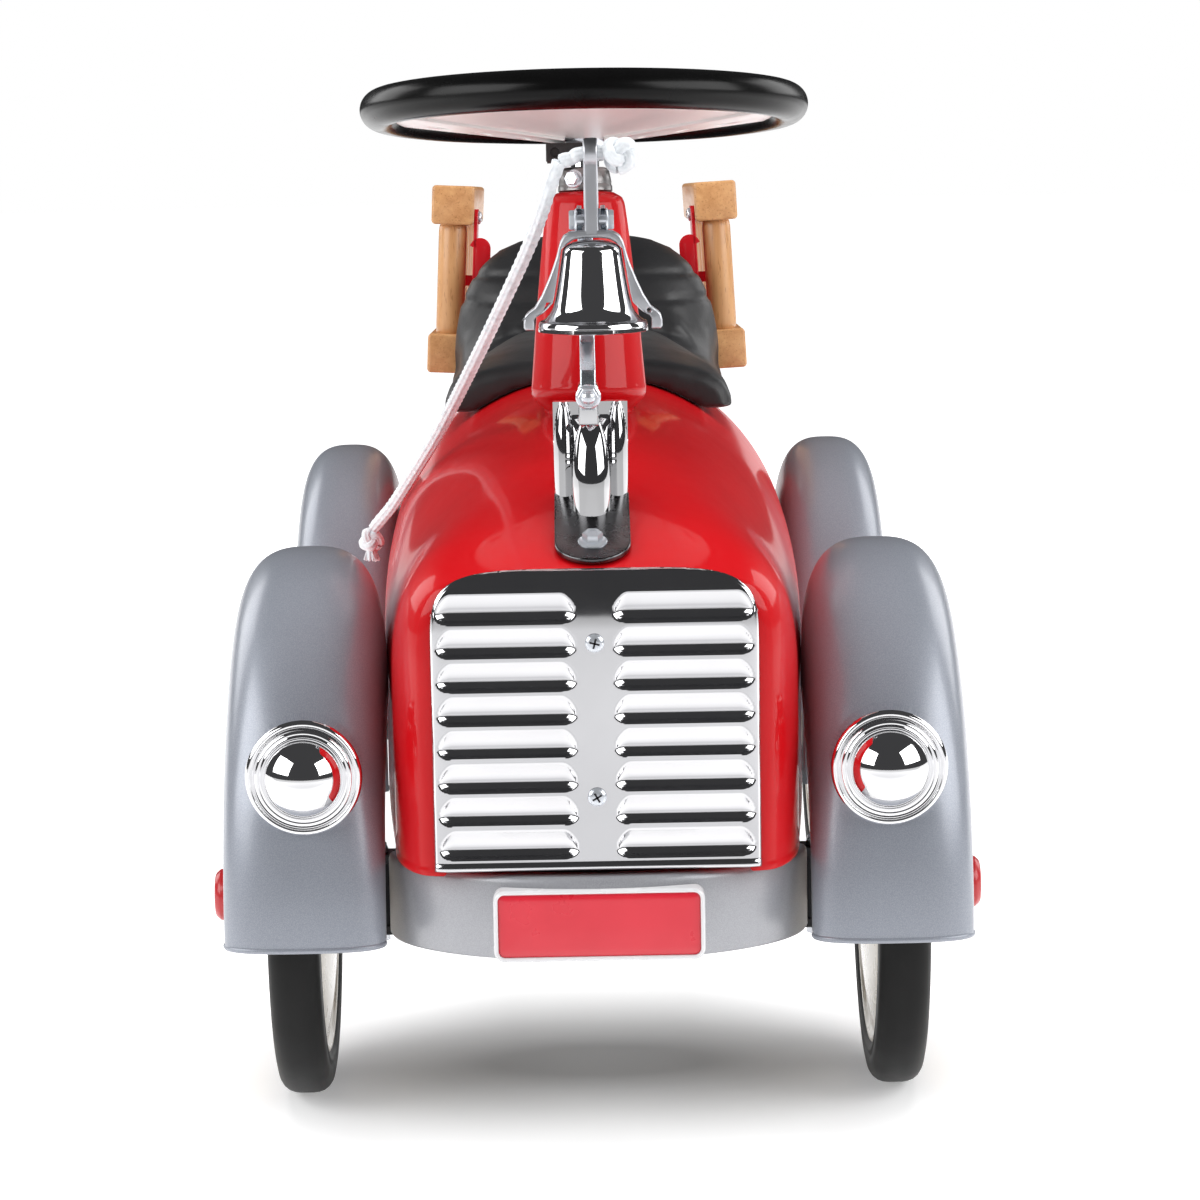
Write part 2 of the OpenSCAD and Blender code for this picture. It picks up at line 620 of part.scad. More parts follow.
module front_axle() color("dimgray") difference() {
    bracket_x = kingpin_x - 16;
    union() {
        translate([-bracket_x - 2, front_y - 8, axle_z - 8]) cube([2 * bracket_x + 4, 16, 16]);
        both_sides() {
            translate([54, front_y - 8, axle_z + 8]) cube([12, 16, 5]);
            translate([bracket_x, front_y - 8, axle_z - sleeve_half - 4.4]) cube([4, 16, 2 * sleeve_half + 8.8]);
            for (z = [-sleeve_half - 4.4, sleeve_half + gap]) translate([0, front_y, axle_z + z]) {
                translate([bracket_x + 1, -8, 0]) cube([15, 16, 4]);
                translate([kingpin_x, 0, 0]) cylinder(r = 8, h = 4);
            }
        }
    }
    both_sides() translate([kingpin_x, front_y, 0]) cylinder(r = kingpin_r, h = 200);
}
module kingpins() color("silver") both_sides() translate([kingpin_x, front_y, axle_z]) {
    translate([0, 0, -sleeve_half - 4.4]) cylinder(r = kingpin_r, h = 2 * sleeve_half + 8.8);
    translate([0, 0, sleeve_half + 4.4]) hex_head(8, 4.5);
    translate([0, 0, -sleeve_half - 8.4]) cylinder(r = 8, h = 4, $fn = 6);
}
// A sleeve on the kingpin, an axle stub and a rearward arm with a pin for the tie bar
module knuckle(side) color("gray") flip(side) translate([kingpin_x, front_y, axle_z]) difference() {
    stub = wheel_x - kingpin_x;
    union() {
        translate([0, 0, -sleeve_half]) cylinder(r = 10, h = 2 * sleeve_half);
        x_axis_at(5, 0, 0) cylinder(r = axle_r, h = stub + hub_half + 4);
        x_axis_at(7, 0, 0) cylinder(r = 9, h = stub - hub_half - gap - 7);
        translate([-6, 0, -6]) cube([12, arm_l, 4]);
        translate([0, arm_l, -6]) cylinder(r = 6.5, h = 4);
        translate([0, arm_l, -15]) cylinder(r = link_pin_r, h = 10);
    }
    translate([0, 0, -20]) cylinder(r = kingpin_r + fit, h = 40);
}
module link_slot(x, y, travel) translate([x, y, bar_z - 1]) {
    r = link_pin_r + 0.3;
    for (s = [-1, 1]) translate([0, s * travel / 2, 0]) cylinder(r = r, h = bar_t + 2);
    translate([-r, -travel / 2, 0]) cube([2 * r, travel, bar_t + 2]);
}
module tie_bar() color("gray") {
    pin_y = rim_y + crank_l * cos(column_tilt) + (crank_z - 10) * sin(column_tilt);
    link_y = front_y + arm_l;
    difference() {
        union() {
            translate([-kingpin_x, link_y - 9, bar_z]) cube([2 * kingpin_x, 18, bar_t]);
            both_sides() translate([kingpin_x, link_y, bar_z]) cylinder(r = 9, h = bar_t);
            translate([-9, link_y, bar_z]) cube([18, pin_y - link_y, bar_t]);
            translate([0, pin_y, bar_z]) cylinder(r = 9, h = bar_t);
        }
        both_sides() link_slot(kingpin_x, link_y, 4);
        link_slot(0, pin_y, 6);
    }
}
module rear_axle() color("dimgray") {
    x_axis_at(-wheel_x - hub_half - 4, rear_y, axle_z) cylinder(r = axle_r, h = 2 * (wheel_x + hub_half + 4));
    both_sides() {
        translate([54, rear_y - 9, axle_z - 9]) cube([12, 18, 22]);
        x_axis_at(110, rear_y, axle_z) cylinder(r = 9, h = wheel_x - hub_half - gap - 110);
    }
}

// ---- Wheels ----

module at_wheel(end, side) flip(side) x_axis_at(wheel_x, end == "front" ? front_y : rear_y, axle_z) children();
module tyre(end, side) color("#202020") at_wheel(end, side) rotate_extrude($fn = 96) {
    half = tyre_w / 2;
    r = tyre_d / 2;
    seat_r = r - 19;
    round_r = 7;
    translate([seat_r, -half + 2]) square([3, tyre_w - 4]);
    translate([seat_r + 3, -half]) square([r - seat_r - 3 - round_r, tyre_w]);
    translate([r - round_r - 1, -half + round_r]) square([round_r + 1, tyre_w - 2 * round_r]);
    for (s = [-1, 1]) translate([r - round_r, s * (half - round_r)]) circle(r = round_r);
}
module wheel(end, side) color("wheat") at_wheel(end, side) rotate_extrude($fn = 96) {
    seat_r = tyre_d / 2 - 19;
    polygon([[axle_r + fit, -hub_half], [16, -hub_half], [19, -14], [45, -12.5], [seat_r - 6, -9], [seat_r, -10.6],
        [seat_r, 10.6], [seat_r - 6, 9], [45, 12.5], [19, 14], [16, hub_half], [axle_r + fit, hub_half]]);
}
module hub_cap(end, side) color("firebrick") at_wheel(end, side) {
    depth = hub_cap_x - wheel_x - hub_half;
    translate([0, 0, hub_half]) rotate_extrude() polygon([[10.4, 0], [hub_cap_r, 0], [hub_cap_r, depth - 2.4],
        [hub_cap_r - 2.4, depth], [0, depth], [0, depth - 2], [10.4, depth - 4]]);
}

// ---- Ladders ----

module on_ladder(side) flip(side) translate(ladder_at) rotate([-ladder_pitch, 0, 0]) rotate([0, -ladder_roll, 0]) children();
module ladder_rails(side) color("burlywood") on_ladder(side) for (z = [0, -rail_drop])
    translate([-rail_w / 2, 0, z - rail_h / 2]) cube([rail_w, ladder_l, rail_h]);
module ladder_rungs(side) color("burlywood") on_ladder(side) for (i = [0:rungs - 1])
    translate([0, rung_first + i * rung_step, -rail_drop + rail_h / 2])
        cylinder(r = rung_r, h = rail_drop - rail_h);
// A red sheet-steel bracket: a plate along the rails, an ear that faces the front and a stay between two rungs
module ladder_bracket(side) color("firebrick") on_ladder(side) {
    plate_x = -rail_w / 2 - 2;
    translate([plate_x, 6, -110]) cube([2, 36, 108]);
    translate([plate_x - 8, 6, -104.5]) cube([8.5, 2, 81.5]);
    translate([plate_x - 2, 6, -24]) rotate([-90, 0, 0]) cylinder(r = 6, h = 2);
    translate([plate_x - 2, 6, -30]) cube([3, 2, 12]);
    translate([-6, 34, -rail_drop + rail_h / 2]) cube([4, 10, rail_drop - rail_h]);
    translate([plate_x + 1, 34, -46]) cube([8, 4, 6]);
}
module ladder_screws() color("lightgray") for (side = SIDES, z = [-7, -rail_drop]) on_ladder(side)
    translate([-rail_w / 2 - 2, 26, z]) rotate([0, -90, 0]) pan_head(3.6, 2);

body_shell();
floor_pan();
chassis();
grille();
grille_screws();
bumper();
plate_frame();
plate_panel();
fender_front("left");  // fender_front_left
fender_front("right");  // fender_front_right
fender_rear("left");  // fender_rear_left
fender_rear("right");  // fender_rear_right
headlight("left");  // headlight_left
headlight("right");  // headlight_right
column_cover();
seat();
bell_stand();
stand_bolts();
bell_hanger();
pivot_bolt();
bell_yoke();
bell();
clapper();
rope_knot();
rope();
rope_end_knot();
front_axle();
kingpins();
rear_axle();
knuckle("left");  // knuckle_left
knuckle("right");  // knuckle_right
tie_bar();
steering_shaft();
shaft_collar();
collar_bolt();
steering_hub();
steering_spokes();
steering_rim();
horn_button();
horn_box();
tyre("front", "left");  // tyre_front_left
tyre("front", "right");  // tyre_front_right
tyre("rear", "left");  // tyre_rear_left
tyre("rear", "right");  // tyre_rear_right
wheel("front", "left");  // wheel_front_left
wheel("front", "right");  // wheel_front_right
wheel("rear", "left");  // wheel_rear_left
wheel("rear", "right");  // wheel_rear_right
hub_cap("front", "left");  // hub_cap_front_left
hub_cap("front", "right");  // hub_cap_front_right
hub_cap("rear", "left");  // hub_cap_rear_left
hub_cap("rear", "right");  // hub_cap_rear_right
ladder_rails("left");  // ladder_rails_left
ladder_rails("right");  // ladder_rails_right
ladder_rungs("left");  // ladder_rungs_left
ladder_rungs("right");  // ladder_rungs_right
ladder_bracket("left");  // ladder_bracket_left
ladder_bracket("right");  // ladder_bracket_right
ladder_screws();
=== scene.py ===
"""Looks of a foot-to-floor ride-on fire car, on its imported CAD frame. Lengths are in millimetres."""
import math
import random
from math import asin, copysign, cos, exp, hypot, pi, radians, remainder, sin, sqrt, tan

import bmesh
import bpy
import numpy as np
from mathutils import Matrix, Vector


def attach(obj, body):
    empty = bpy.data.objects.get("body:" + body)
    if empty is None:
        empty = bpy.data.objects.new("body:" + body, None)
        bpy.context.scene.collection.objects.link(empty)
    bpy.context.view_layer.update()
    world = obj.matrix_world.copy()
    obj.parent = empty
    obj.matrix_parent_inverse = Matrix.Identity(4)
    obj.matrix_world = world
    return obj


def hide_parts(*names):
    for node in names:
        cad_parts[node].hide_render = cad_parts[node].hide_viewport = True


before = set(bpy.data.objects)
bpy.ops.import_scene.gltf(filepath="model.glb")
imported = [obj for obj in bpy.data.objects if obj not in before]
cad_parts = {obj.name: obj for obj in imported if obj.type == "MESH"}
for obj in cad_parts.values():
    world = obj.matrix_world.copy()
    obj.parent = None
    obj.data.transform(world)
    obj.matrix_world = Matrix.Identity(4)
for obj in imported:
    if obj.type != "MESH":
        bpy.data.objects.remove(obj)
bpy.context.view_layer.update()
MM = 0.001
SIDES = {"left": -1, "right": 1}

# ---- Driving sizes, as in the part ----
HALF_LENGTH = 387.5
BASE_Z = 131
RIDGE_Z = 320
BODY_HALF_W = 109.5
SHEET = 1.6
NOSE_Y = -376
GRILLE_HALF_W = 73
FENDER_OUT_X = 169.5
FENDER_TOP_Z = 262
FENDER_REACH = 123
ARCH_R = 106
ARCH_Z = 96
GRILLE_ARCH_Z, GRILLE_ARCH_H = BASE_Z + 92, 45
LIGHT_X, LIGHT_Y, LIGHT_Z = 131, -362, 174
STAND_HALF_W = 17
PLATE_W, PLATE_H, PLATE_Z = 94, 32.5, 109.85
AXLE_Z = 95
FRONT_Y, REAR_Y = -245, 205
WHEEL_X = 140
HUB_CAP_X = 183
TILT = 6.4
RIM_Y, RIM_Z, RIM_R, RIM_TUBE_R = -140, 464, 100.8, 9.5
BELL_X, BELL_Y, BELL_MOUTH_Z, BELL_H, BELL_R = 2, -318, 368, 41, 24.8
PIVOT_Z = 418
EYE_Z = 448
ROPE_R = 3.4
LADDER_AT = (74.3, 140, 404.5)
LADDER_PITCH, LADDER_ROLL = 2.5, 2.9
LADDER_L, RAIL_W, RAIL_H, RAIL_DROP = 234, 24, 22, 84
BOLT_X = -0.8

# ---- Mesh tools ----


def linked(name, data):
    """A new object in the scene that holds the data."""
    holder = bpy.data.objects.new(name, data)
    bpy.context.scene.collection.objects.link(holder)
    return holder


def solved(holder):
    """The holder's mesh with its modifiers worked out."""
    return bpy.data.meshes.new_from_object(holder.evaluated_get(bpy.context.evaluated_depsgraph_get()))


def sweep(start, stop, count):
    """Angles in radians, at even steps between two in degrees."""
    return [radians(start + (stop - start) * k / count) for k in range(count + 1)]


def grid(rows, ring=False, loop=False):
    """Quads over rows of points: ring closes each row, loop joins the last row to the first."""
    n, m = len(rows), len(rows[0])
    faces = []
    for i in range(n if loop else n - 1):
        for k in range(m if ring else m - 1):
            j, l = (i + 1) % n, (k + 1) % m
            faces.append([i * m + k, i * m + l, j * m + l, j * m + k])
    return [tuple(p) for r in rows for p in r], faces


def capped(rows):
    """A closed solid through closed rings, with flat ends."""
    verts, faces = grid(rows, ring=True)
    m = len(rows[0])
    faces.append(list(range(m)))
    faces.append(list(range((len(rows) - 1) * m, len(rows) * m)))
    return verts, faces


def join(*parts):
    verts, faces = [], []
    for v, f in parts:
        n = len(verts)
        verts += list(v)
        faces += [[i + n for i in face] for face in f]
    return verts, faces


def placed(part, matrix):
    verts, faces = part
    return [tuple(matrix @ Vector(v)) for v in verts], faces


def shifted(part, x, y, z):
    return placed(part, Matrix.Translation((x, y, z)))


def mirrored(part, sign):
    verts, faces = part
    return [(sign * v[0], v[1], v[2]) for v in verts], faces


def lathe(profile, turns=96, closed=False):
    """Turns (radius, height) points about Z; an open profile gets flat ends."""
    angles = [2 * pi * k / turns for k in range(turns)]
    rows = [[(max(r, 0.01) * cos(a), max(r, 0.01) * sin(a), h) for a in angles] for r, h in profile]
    return grid(rows, ring=True, loop=True) if closed else capped(rows)


def frames_along(path, closed=False):
    """Two directions square to the path at each point, carried along without twist."""
    p = np.array(path, float)
    n = len(p)
    if closed:
        t = np.roll(p, -1, 0) - np.roll(p, 1, 0)
    else:
        t = np.gradient(p, axis=0)
    t /= np.linalg.norm(t, axis=1)[:, None]
    u = np.cross(t[0], [0, 1, 0] if abs(t[0][1]) < 0.9 else [1, 0, 0])
    out = []
    for i in range(n):
        u = u - (u @ t[i]) * t[i]
        u = u / np.linalg.norm(u)
        out.append((p[i], u, np.cross(t[i], u)))
    return out


def tube(path, radius, sides=12, closed=False):
    """A tube along the path; radius is a number, or a function of the share of the path and the angle."""
    spots = frames_along(path, closed)
    rows = []
    for i, (p, u, v) in enumerate(spots):
        row = []
        for k in range(sides):
            a = 2 * pi * k / sides
            r = radius(i / len(spots), a) if callable(radius) else radius
            row.append(tuple(p + r * (cos(a) * u + sin(a) * v)))
        rows.append(row)
    return grid(rows, ring=True, loop=True) if closed else capped(rows)


def prism(outline, low, high):
    return capped([[(x, y, low) for x, y in outline], [(x, y, high) for x, y in outline]])


def block(x0, x1, y0, y1, z0, z1):
    return prism([(x0, y0), (x1, y0), (x1, y1), (x0, y1)], z0, z1)


def rounded_rectangle(w, h, r, steps=8):
    points = []
    for cx, cy, start in ((w / 2 - r, h / 2 - r, 0), (r - w / 2, h / 2 - r, 90), (r - w / 2, r - h / 2, 180),
            (w / 2 - r, r - h / 2, 270)):
        for a in sweep(start, start + 90, steps):
            points.append((cx + r * cos(a), cy + r * sin(a)))
    return points


def circle(r, x=0, y=0, n=32):
    return [(x + r * cos(2 * pi * k / n), y + r * sin(2 * pi * k / n)) for k in range(n)]


def plate(outlines, thick, edge):
    """A flat plate about Z = 0 with rounded edges; outlines after the first are its holes."""
    curve = bpy.data.curves.new("plate", "CURVE")
    curve.dimensions = "2D"
    curve.fill_mode = "BOTH"
    curve.extrude = thick / 2 - edge
    curve.bevel_depth = edge
    curve.bevel_resolution = 2
    curve.offset = -edge
    for outline in outlines:
        spline = curve.splines.new("POLY")
        spline.points.add(len(outline) - 1)
        for point, (x, y) in zip(spline.points, outline):
            point.co = (x, y, 0, 1)
        spline.use_cyclic_u = True
    holder = linked("plate", curve)
    bpy.context.view_layer.update()
    mesh = solved(holder)
    part = [tuple(v.co) for v in mesh.vertices], [list(f.vertices) for f in mesh.polygons]
    bpy.data.objects.remove(holder)
    bpy.data.meshes.remove(mesh)
    return part


def turned(axis, degrees, x=0, y=0, z=0):
    return Matrix.Translation((x, y, z)) @ Matrix.Rotation(radians(degrees), 4, axis)


def hex_bolt(r, h, flange_r):
    """A flanged hexagon head standing on Z = 0, with a chamfered and dished top."""
    flange = lathe([(flange_r, 0), (flange_r, 0.5), (flange_r - 0.6, 1), (r * 0.9, 1.25), (0.01, 1.25)], 48)
    ring = [(r * cos(radians(60 * k)), r * sin(radians(60 * k))) for k in range(6)]
    rows = [[(s * x, s * y, z) for x, y in ring] for s, z in ((1, 0.8), (1, h - 0.7), (0.9, h), (0.62, h),
        (0.5, h - 0.5))]
    return join(flange, capped(rows))


def pan_screw(r, h):
    """A domed head on Z = 0, and a thin cross standing proud on its top in place of a cross recess; the
    callers colour that cross dark as painted shade.
    """
    dome = lathe([(r, 0), (r, 0.3 * h), (0.93 * r, 0.62 * h), (0.7 * r, 0.88 * h), (0.36 * r, h), (0.01, h)],
        40)
    cross = [block(-0.55 * r, 0.55 * r, -0.1 * r, 0.1 * r, h - 0.1, h + 0.12)]
    cross.append(placed(cross[0], turned("Z", 90)))
    return dome, join(*cross)


def make(name, part, body, look, replaces=(), sharp=38, edge=0):
    """A piece of the car from millimetre geometry, riding on a body."""
    verts, faces = part
    mesh = bpy.data.meshes.new(name)
    mesh.from_pydata([tuple(c * MM for c in v) for v in verts], [], faces)
    tidy = bmesh.new()
    tidy.from_mesh(mesh)
    bmesh.ops.remove_doubles(tidy, verts=tidy.verts, dist=1e-6)
    bmesh.ops.recalc_face_normals(tidy, faces=tidy.faces)
    tidy.to_mesh(mesh)
    tidy.free()
    mesh.polygons.foreach_set("use_smooth", [True] * len(mesh.polygons))
    mesh.set_sharp_from_angle(angle=radians(sharp))
    obj = linked(name, mesh)
    if edge:
        bevel = obj.modifiers.new("edge", "BEVEL")
        bevel.width = edge * MM
        bevel.segments = 3
        bevel.limit_method = "ANGLE"
        bevel.angle_limit = radians(30)
        bevel.harden_normals = False
    material, slot = look
    mesh.materials.append(material)
    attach(obj, body)
    if replaces:
        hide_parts(*replaces)
    return obj


# ---- Materials ----


class Shader:
    """A Principled material, with its texture nodes in object space."""

    def __init__(self, name, **sockets):
        self.material = bpy.data.materials.new(name)
        self.material.use_nodes = True
        self.tree = self.material.node_tree
        self.bsdf = self.tree.nodes["Principled BSDF"]
        for key, value in sockets.items():
            self.bsdf.inputs[key.replace("_", " ").title().replace("Ior", "IOR")].default_value = value

    def node(self, kind, **values):
        made = self.tree.nodes.new(kind)
        for key, value in values.items():
            if hasattr(made, key):
                setattr(made, key, value)
            elif isinstance(value, bpy.types.NodeSocket):
                self.tree.links.new(value, made.inputs[key.replace("_", " ").title()])
            else:
                made.inputs[key.replace("_", " ").title()].default_value = value
        return made

    def place(self, scale=(1, 1, 1)):
        source = self.node("ShaderNodeTexCoord").outputs["Object"]
        mapping = self.node("ShaderNodeMapping", Vector=source)
        mapping.inputs["Scale"].default_value = scale
        return mapping.outputs["Vector"]

    def noise(self, scale, detail=3, stretch=(1, 1, 1), roughness=0.5):
        made = self.node("ShaderNodeTexNoise", Vector=self.place(stretch), Scale=scale, Detail=detail,
            Roughness=roughness)
        return made.outputs["Fac"]

    def cells(self, scale):
        return self.node("ShaderNodeTexVoronoi", Vector=self.place(), Scale=scale).outputs["Distance"]

    def ramp(self, value, *stops):
        made = self.node("ShaderNodeValToRGB", Fac=value)
        points = made.color_ramp.elements
        while len(points) < len(stops):
            points.new(0.5)
        for point, (at, colour) in zip(points, stops):
            point.position = at
            point.color = (*colour, 1) if hasattr(colour, "__len__") else (colour, colour, colour, 1)
        return made.outputs["Color"]

    def link(self, output, socket):
        self.tree.links.new(output, self.bsdf.inputs[socket])

    def wire(self, output, made, socket=0):
        self.tree.links.new(output, made.inputs[socket])

    def bump(self, height, strength, depth_mm, under=None):
        made = self.node("ShaderNodeBump", Height=height, Strength=strength, Distance=depth_mm * MM)
        if under is not None:
            self.wire(under, made, "Normal")
        self.link(made.outputs["Normal"], "Normal")
        return made.outputs["Normal"]


def gloss_paint(name, dark, bright, rough=(0.4, 0.48), coat=0.38):
    """Sprayed and lacquered steel: faint shade drift, fine orange peel, and dust that dulls it unevenly."""
    s = Shader(name, coat_weight=coat, coat_roughness=0.08, specular_ior_level=0.1)
    s.link(s.ramp(s.noise(9, 4), (0.3, dark), (0.7, bright)), "Base Color")
    s.link(s.ramp(s.noise(38, 6, roughness=0.65), (0.3, rough[0]), (0.75, rough[1])), "Roughness")
    s.bump(s.noise(420, 2), 0.10, 0.05)
    return s.material


def flake_paint(name, dark, bright, rough):
    """Metallic lacquer with fine aluminium flakes under a clear coat."""
    s = Shader(name, metallic=0.35, coat_weight=0.5, coat_roughness=0.2)
    s.link(s.ramp(s.cells(2600), (0.05, bright), (0.6, dark)), "Base Color")
    s.link(s.ramp(s.noise(30, 5), (0.3, rough), (0.75, rough + 0.08)), "Roughness")
    s.bump(s.noise(380, 2), 0.10, 0.05)
    return s.material


def bright_metal(name, colour, low, high, wave_mm=0.03, grain=0.0, metallic=1.0):
    """Plated or ground metal: uneven polish, slight waviness and optional grinding marks."""
    s = Shader(name, metallic=metallic)
    tint = tuple(c * 0.94 for c in colour)
    s.link(s.ramp(s.noise(22, 5), (0.3, colour), (0.75, tint)), "Base Color")
    s.link(s.ramp(s.noise(60, 7, roughness=0.7), (0.35, low), (0.8, high)), "Roughness")
    base = s.bump(s.noise(70, 2), 0.2, wave_mm)
    if grain:
        s.bump(s.noise(900, 4, stretch=(1, 1, 6)), grain, 0.05, base)
    return s.material


def moulded(name, dark, bright, rough, coat=0.0, fine=0.12, specular=0.5):
    """Moulded plastic or rubber with a fine skin texture."""
    s = Shader(name, coat_weight=coat, coat_roughness=0.06, specular_ior_level=specular)
    s.link(s.ramp(s.noise(26, 5), (0.3, dark), (0.72, bright)), "Base Color")
    s.link(s.ramp(s.noise(55, 6), (0.3, rough), (0.78, rough + 0.1)), "Roughness")
    s.bump(s.noise(1500, 3), fine, 0.08)
    return s.material


def leather():
    s = Shader("saddle_leather", sheen_weight=0.06, coat_weight=0.12, coat_roughness=0.35)
    s.link(s.ramp(s.noise(30, 6), (0.3, (0.006, 0.006, 0.007)), (0.75, (0.013, 0.013, 0.014))), "Base Color")
    s.link(s.ramp(s.noise(90, 5), (0.3, 0.40), (0.75, 0.52)), "Roughness")
    pebble = s.ramp(s.cells(520), (0.0, 1.0), (0.55, 0.15), (0.9, 0.0))
    base = s.bump(pebble, 0.28, 0.12)
    s.bump(s.noise(1800, 3), 0.1, 0.05, base)
    return s.material


def beech(name, axis):
    """Varnished beech with its grain along one axis, short dark flecks and a faint cathedral figure."""
    along = tuple(0.06 if a == axis else 1 for a in range(3))
    fleck = tuple(0.12 if a == axis else 1 for a in range(3))
    s = Shader(name, coat_weight=0.35, coat_roughness=0.16)
    grain = s.noise(190, 8, stretch=along, roughness=0.62)
    tone = s.ramp(grain, (0.28, (0.50, 0.235, 0.085)), (0.55, (0.62, 0.325, 0.135)), (0.8, (0.71, 0.41, 0.19)))
    marks = s.ramp(s.noise(1100, 2, stretch=fleck), (0.30, (0.62, 0.52, 0.42)), (0.40, (1, 1, 1)))
    mixed = s.node("ShaderNodeMix", data_type="RGBA", blend_type="MULTIPLY")
    mixed.inputs[0].default_value = 0.75
    s.wire(tone, mixed, 6)
    s.wire(marks, mixed, 7)
    s.link(mixed.outputs[2], "Base Color")
    s.link(s.ramp(grain, (0.3, 0.46), (0.75, 0.34)), "Roughness")
    s.bump(s.noise(700, 4, stretch=along), 0.14, 0.08)
    return s.material


def cotton():
    s = Shader("cotton_yarn", roughness=0.85, sheen_weight=0.35)
    s.link(s.ramp(s.noise(240, 5), (0.28, (0.62, 0.65, 0.68)), (0.5, (0.80, 0.83, 0.86)),
        (0.75, (0.86, 0.89, 0.91))), "Base Color")
    s.bump(s.noise(2600, 4, roughness=0.7), 0.45, 0.15)
    return s.material


RED = gloss_paint("red_body_paint", (0.50, 0.002, 0.005), (0.60, 0.004, 0.008))
BRACKET_RED = gloss_paint("red_bracket_paint", (0.42, 0.004, 0.010), (0.52, 0.008, 0.014))
SILVER = flake_paint("silver_fender_paint", (0.27, 0.29, 0.335), (0.38, 0.40, 0.45), 0.36)
SATIN = flake_paint("satin_bumper_paint", (0.33, 0.335, 0.36), (0.45, 0.455, 0.48), 0.34)
CHROME = bright_metal("bright_chrome", (0.93, 0.93, 0.94), 0.025, 0.06)
GRILLE_CHROME = bright_metal("pressed_chrome", (0.68, 0.68, 0.695), 0.09, 0.15, 0.05)
CAST = bright_metal("cast_aluminium", (0.56, 0.57, 0.60), 0.34, 0.5, 0.12, 0.25)
ZINC = bright_metal("zinc_plate", (0.70, 0.73, 0.78), 0.16, 0.3, 0.05, metallic=0.6)
# Painted reflection: chrome given a dark grey base colour, so the foot plate reads as chrome reflecting dark
# surroundings.
FOOT_CHROME_PAINTED_DARK = bright_metal("foot_plate_chrome_painted_dark", (0.13, 0.13, 0.135), 0.24, 0.34, 0.05)
STRAP = bright_metal("spring_steel", (0.66, 0.71, 0.76), 0.24, 0.36, 0.05)
POST_CHROME = bright_metal("cast_chrome", (0.66, 0.66, 0.67), 0.03, 0.07, 0.04)
SHEET_METAL = bright_metal("satin_sheet", (0.90, 0.89, 0.87), 0.34, 0.46, 0.05, 0.1, metallic=0.4)
# Black paint of the chassis; the same colour also paints the shade in the screws' cross recesses.
BLACK_STEEL = gloss_paint("black_chassis_paint_and_recess_shade", (0.018, 0.018, 0.02), (0.03, 0.03, 0.032),
    rough=(0.4, 0.55), coat=0.1)
GREY_IRON = bright_metal("grey_collar_metal", (0.26, 0.25, 0.25), 0.28, 0.42, 0.08)
BLACK_PLASTIC = moulded("black_ring_plastic", (0.002, 0.002, 0.002), (0.004, 0.004, 0.004), 0.2, fine=0.02,
    specular=0.2)
BOX_PLASTIC = moulded("black_box_plastic", (0.015, 0.013, 0.013), (0.03, 0.026, 0.026), 0.42)
RED_PLASTIC = moulded("red_cap_plastic", (0.42, 0.008, 0.012), (0.52, 0.012, 0.02), 0.3, coat=0.4, fine=0.04)
RUBBER = moulded("tyre_rubber", (0.004, 0.004, 0.004), (0.008, 0.008, 0.008), 0.42, fine=0.3, specular=0.2)
CREAM = moulded("cream_disc_plastic", (0.60, 0.51, 0.38), (0.70, 0.61, 0.47), 0.24, coat=0.5, fine=0.04)
PLATE_RED = moulded("plate_enamel", (0.66, 0.012, 0.030), (0.74, 0.020, 0.042), 0.26, coat=0.7, fine=0.03)
PLATE_WHITE = moulded("plate_frame_plastic", (0.74, 0.74, 0.76), (0.82, 0.82, 0.83), 0.22, coat=0.6, fine=0.03)
LEATHER = leather()
WOOD_LONG = beech("beech_rail", 1)
WOOD_UP = beech("beech_rung", 2)
COTTON = cotton()

# ---- Camera ----


def aim_camera():
    """A long lens at 2 m, half a metre up, looking down at the car by 8.5 degrees with a one-degree roll."""
    yaw, pitch, roll = radians(0.265), radians(8.474), radians(0.978)
    forward = Vector((sin(yaw) * cos(pitch), cos(yaw) * cos(pitch), -sin(pitch)))
    level = Vector((cos(yaw), -sin(yaw), 0))
    above = level.cross(forward)
    right = level * cos(roll) - above * sin(roll)
    up = level * sin(roll) + above * cos(roll)
    camera = linked("camera", bpy.data.cameras.new("camera"))
    camera.data.lens = 116.55
    camera.data.sensor_width = 36
    camera.data.clip_start = 0.05
    camera.matrix_world = Matrix((right, up, -forward)).transposed().to_4x4()
    camera.location = (-0.0051, -2.068, 0.5061)
    bpy.context.scene.camera = camera


aim_camera()

# ---- Rope ----

BRAID_PITCH = 10.0
ROUTE = [(-12, -318, 444), (-16, -315, 434), (-20, -307, 422), (-27, -287, 404), (-41, -252, 374),
    (-57, -205, 341), (-74, -142, 307), (-84, -104, 289), (-94, -66, 272), (-104, -38, 256),
    (-111, -26, 247), (-115, -22, 242)]


def spline(points, steps):
    """A Catmull-Rom curve through the points."""
    p = np.array(points, float)
    out = []
    for i in range(len(p) - 1):
        a, b, c, d = p[max(0, i - 1)], p[i], p[i + 1], p[min(len(p) - 1, i + 2)]
        for j in range(steps):
            t = j / steps
            out.append(0.5 * (2 * b + (c - a) * t + (2 * a - 5 * b + 4 * c - d) * t ** 2 + (3 * b - a - 3 * c
                + d) * t ** 3))
    return np.array(out + [p[-1]])


def path_length(points):
    return float(np.linalg.norm(np.diff(points, axis=0), axis=1).sum())


def resampled(points, spacing, closed=False):
    p = np.array(points, float)
    if closed:
        p = np.vstack([p, p[:1]])
    s = np.concatenate([[0], np.cumsum(np.linalg.norm(np.diff(p, axis=0), axis=1))])
    at = np.linspace(0, s[-1], max(3, int(s[-1] / spacing) + 1))
    out = np.array([np.interp(at, s, p[:, k]) for k in range(3)]).T
    return out[:-1] if closed else out


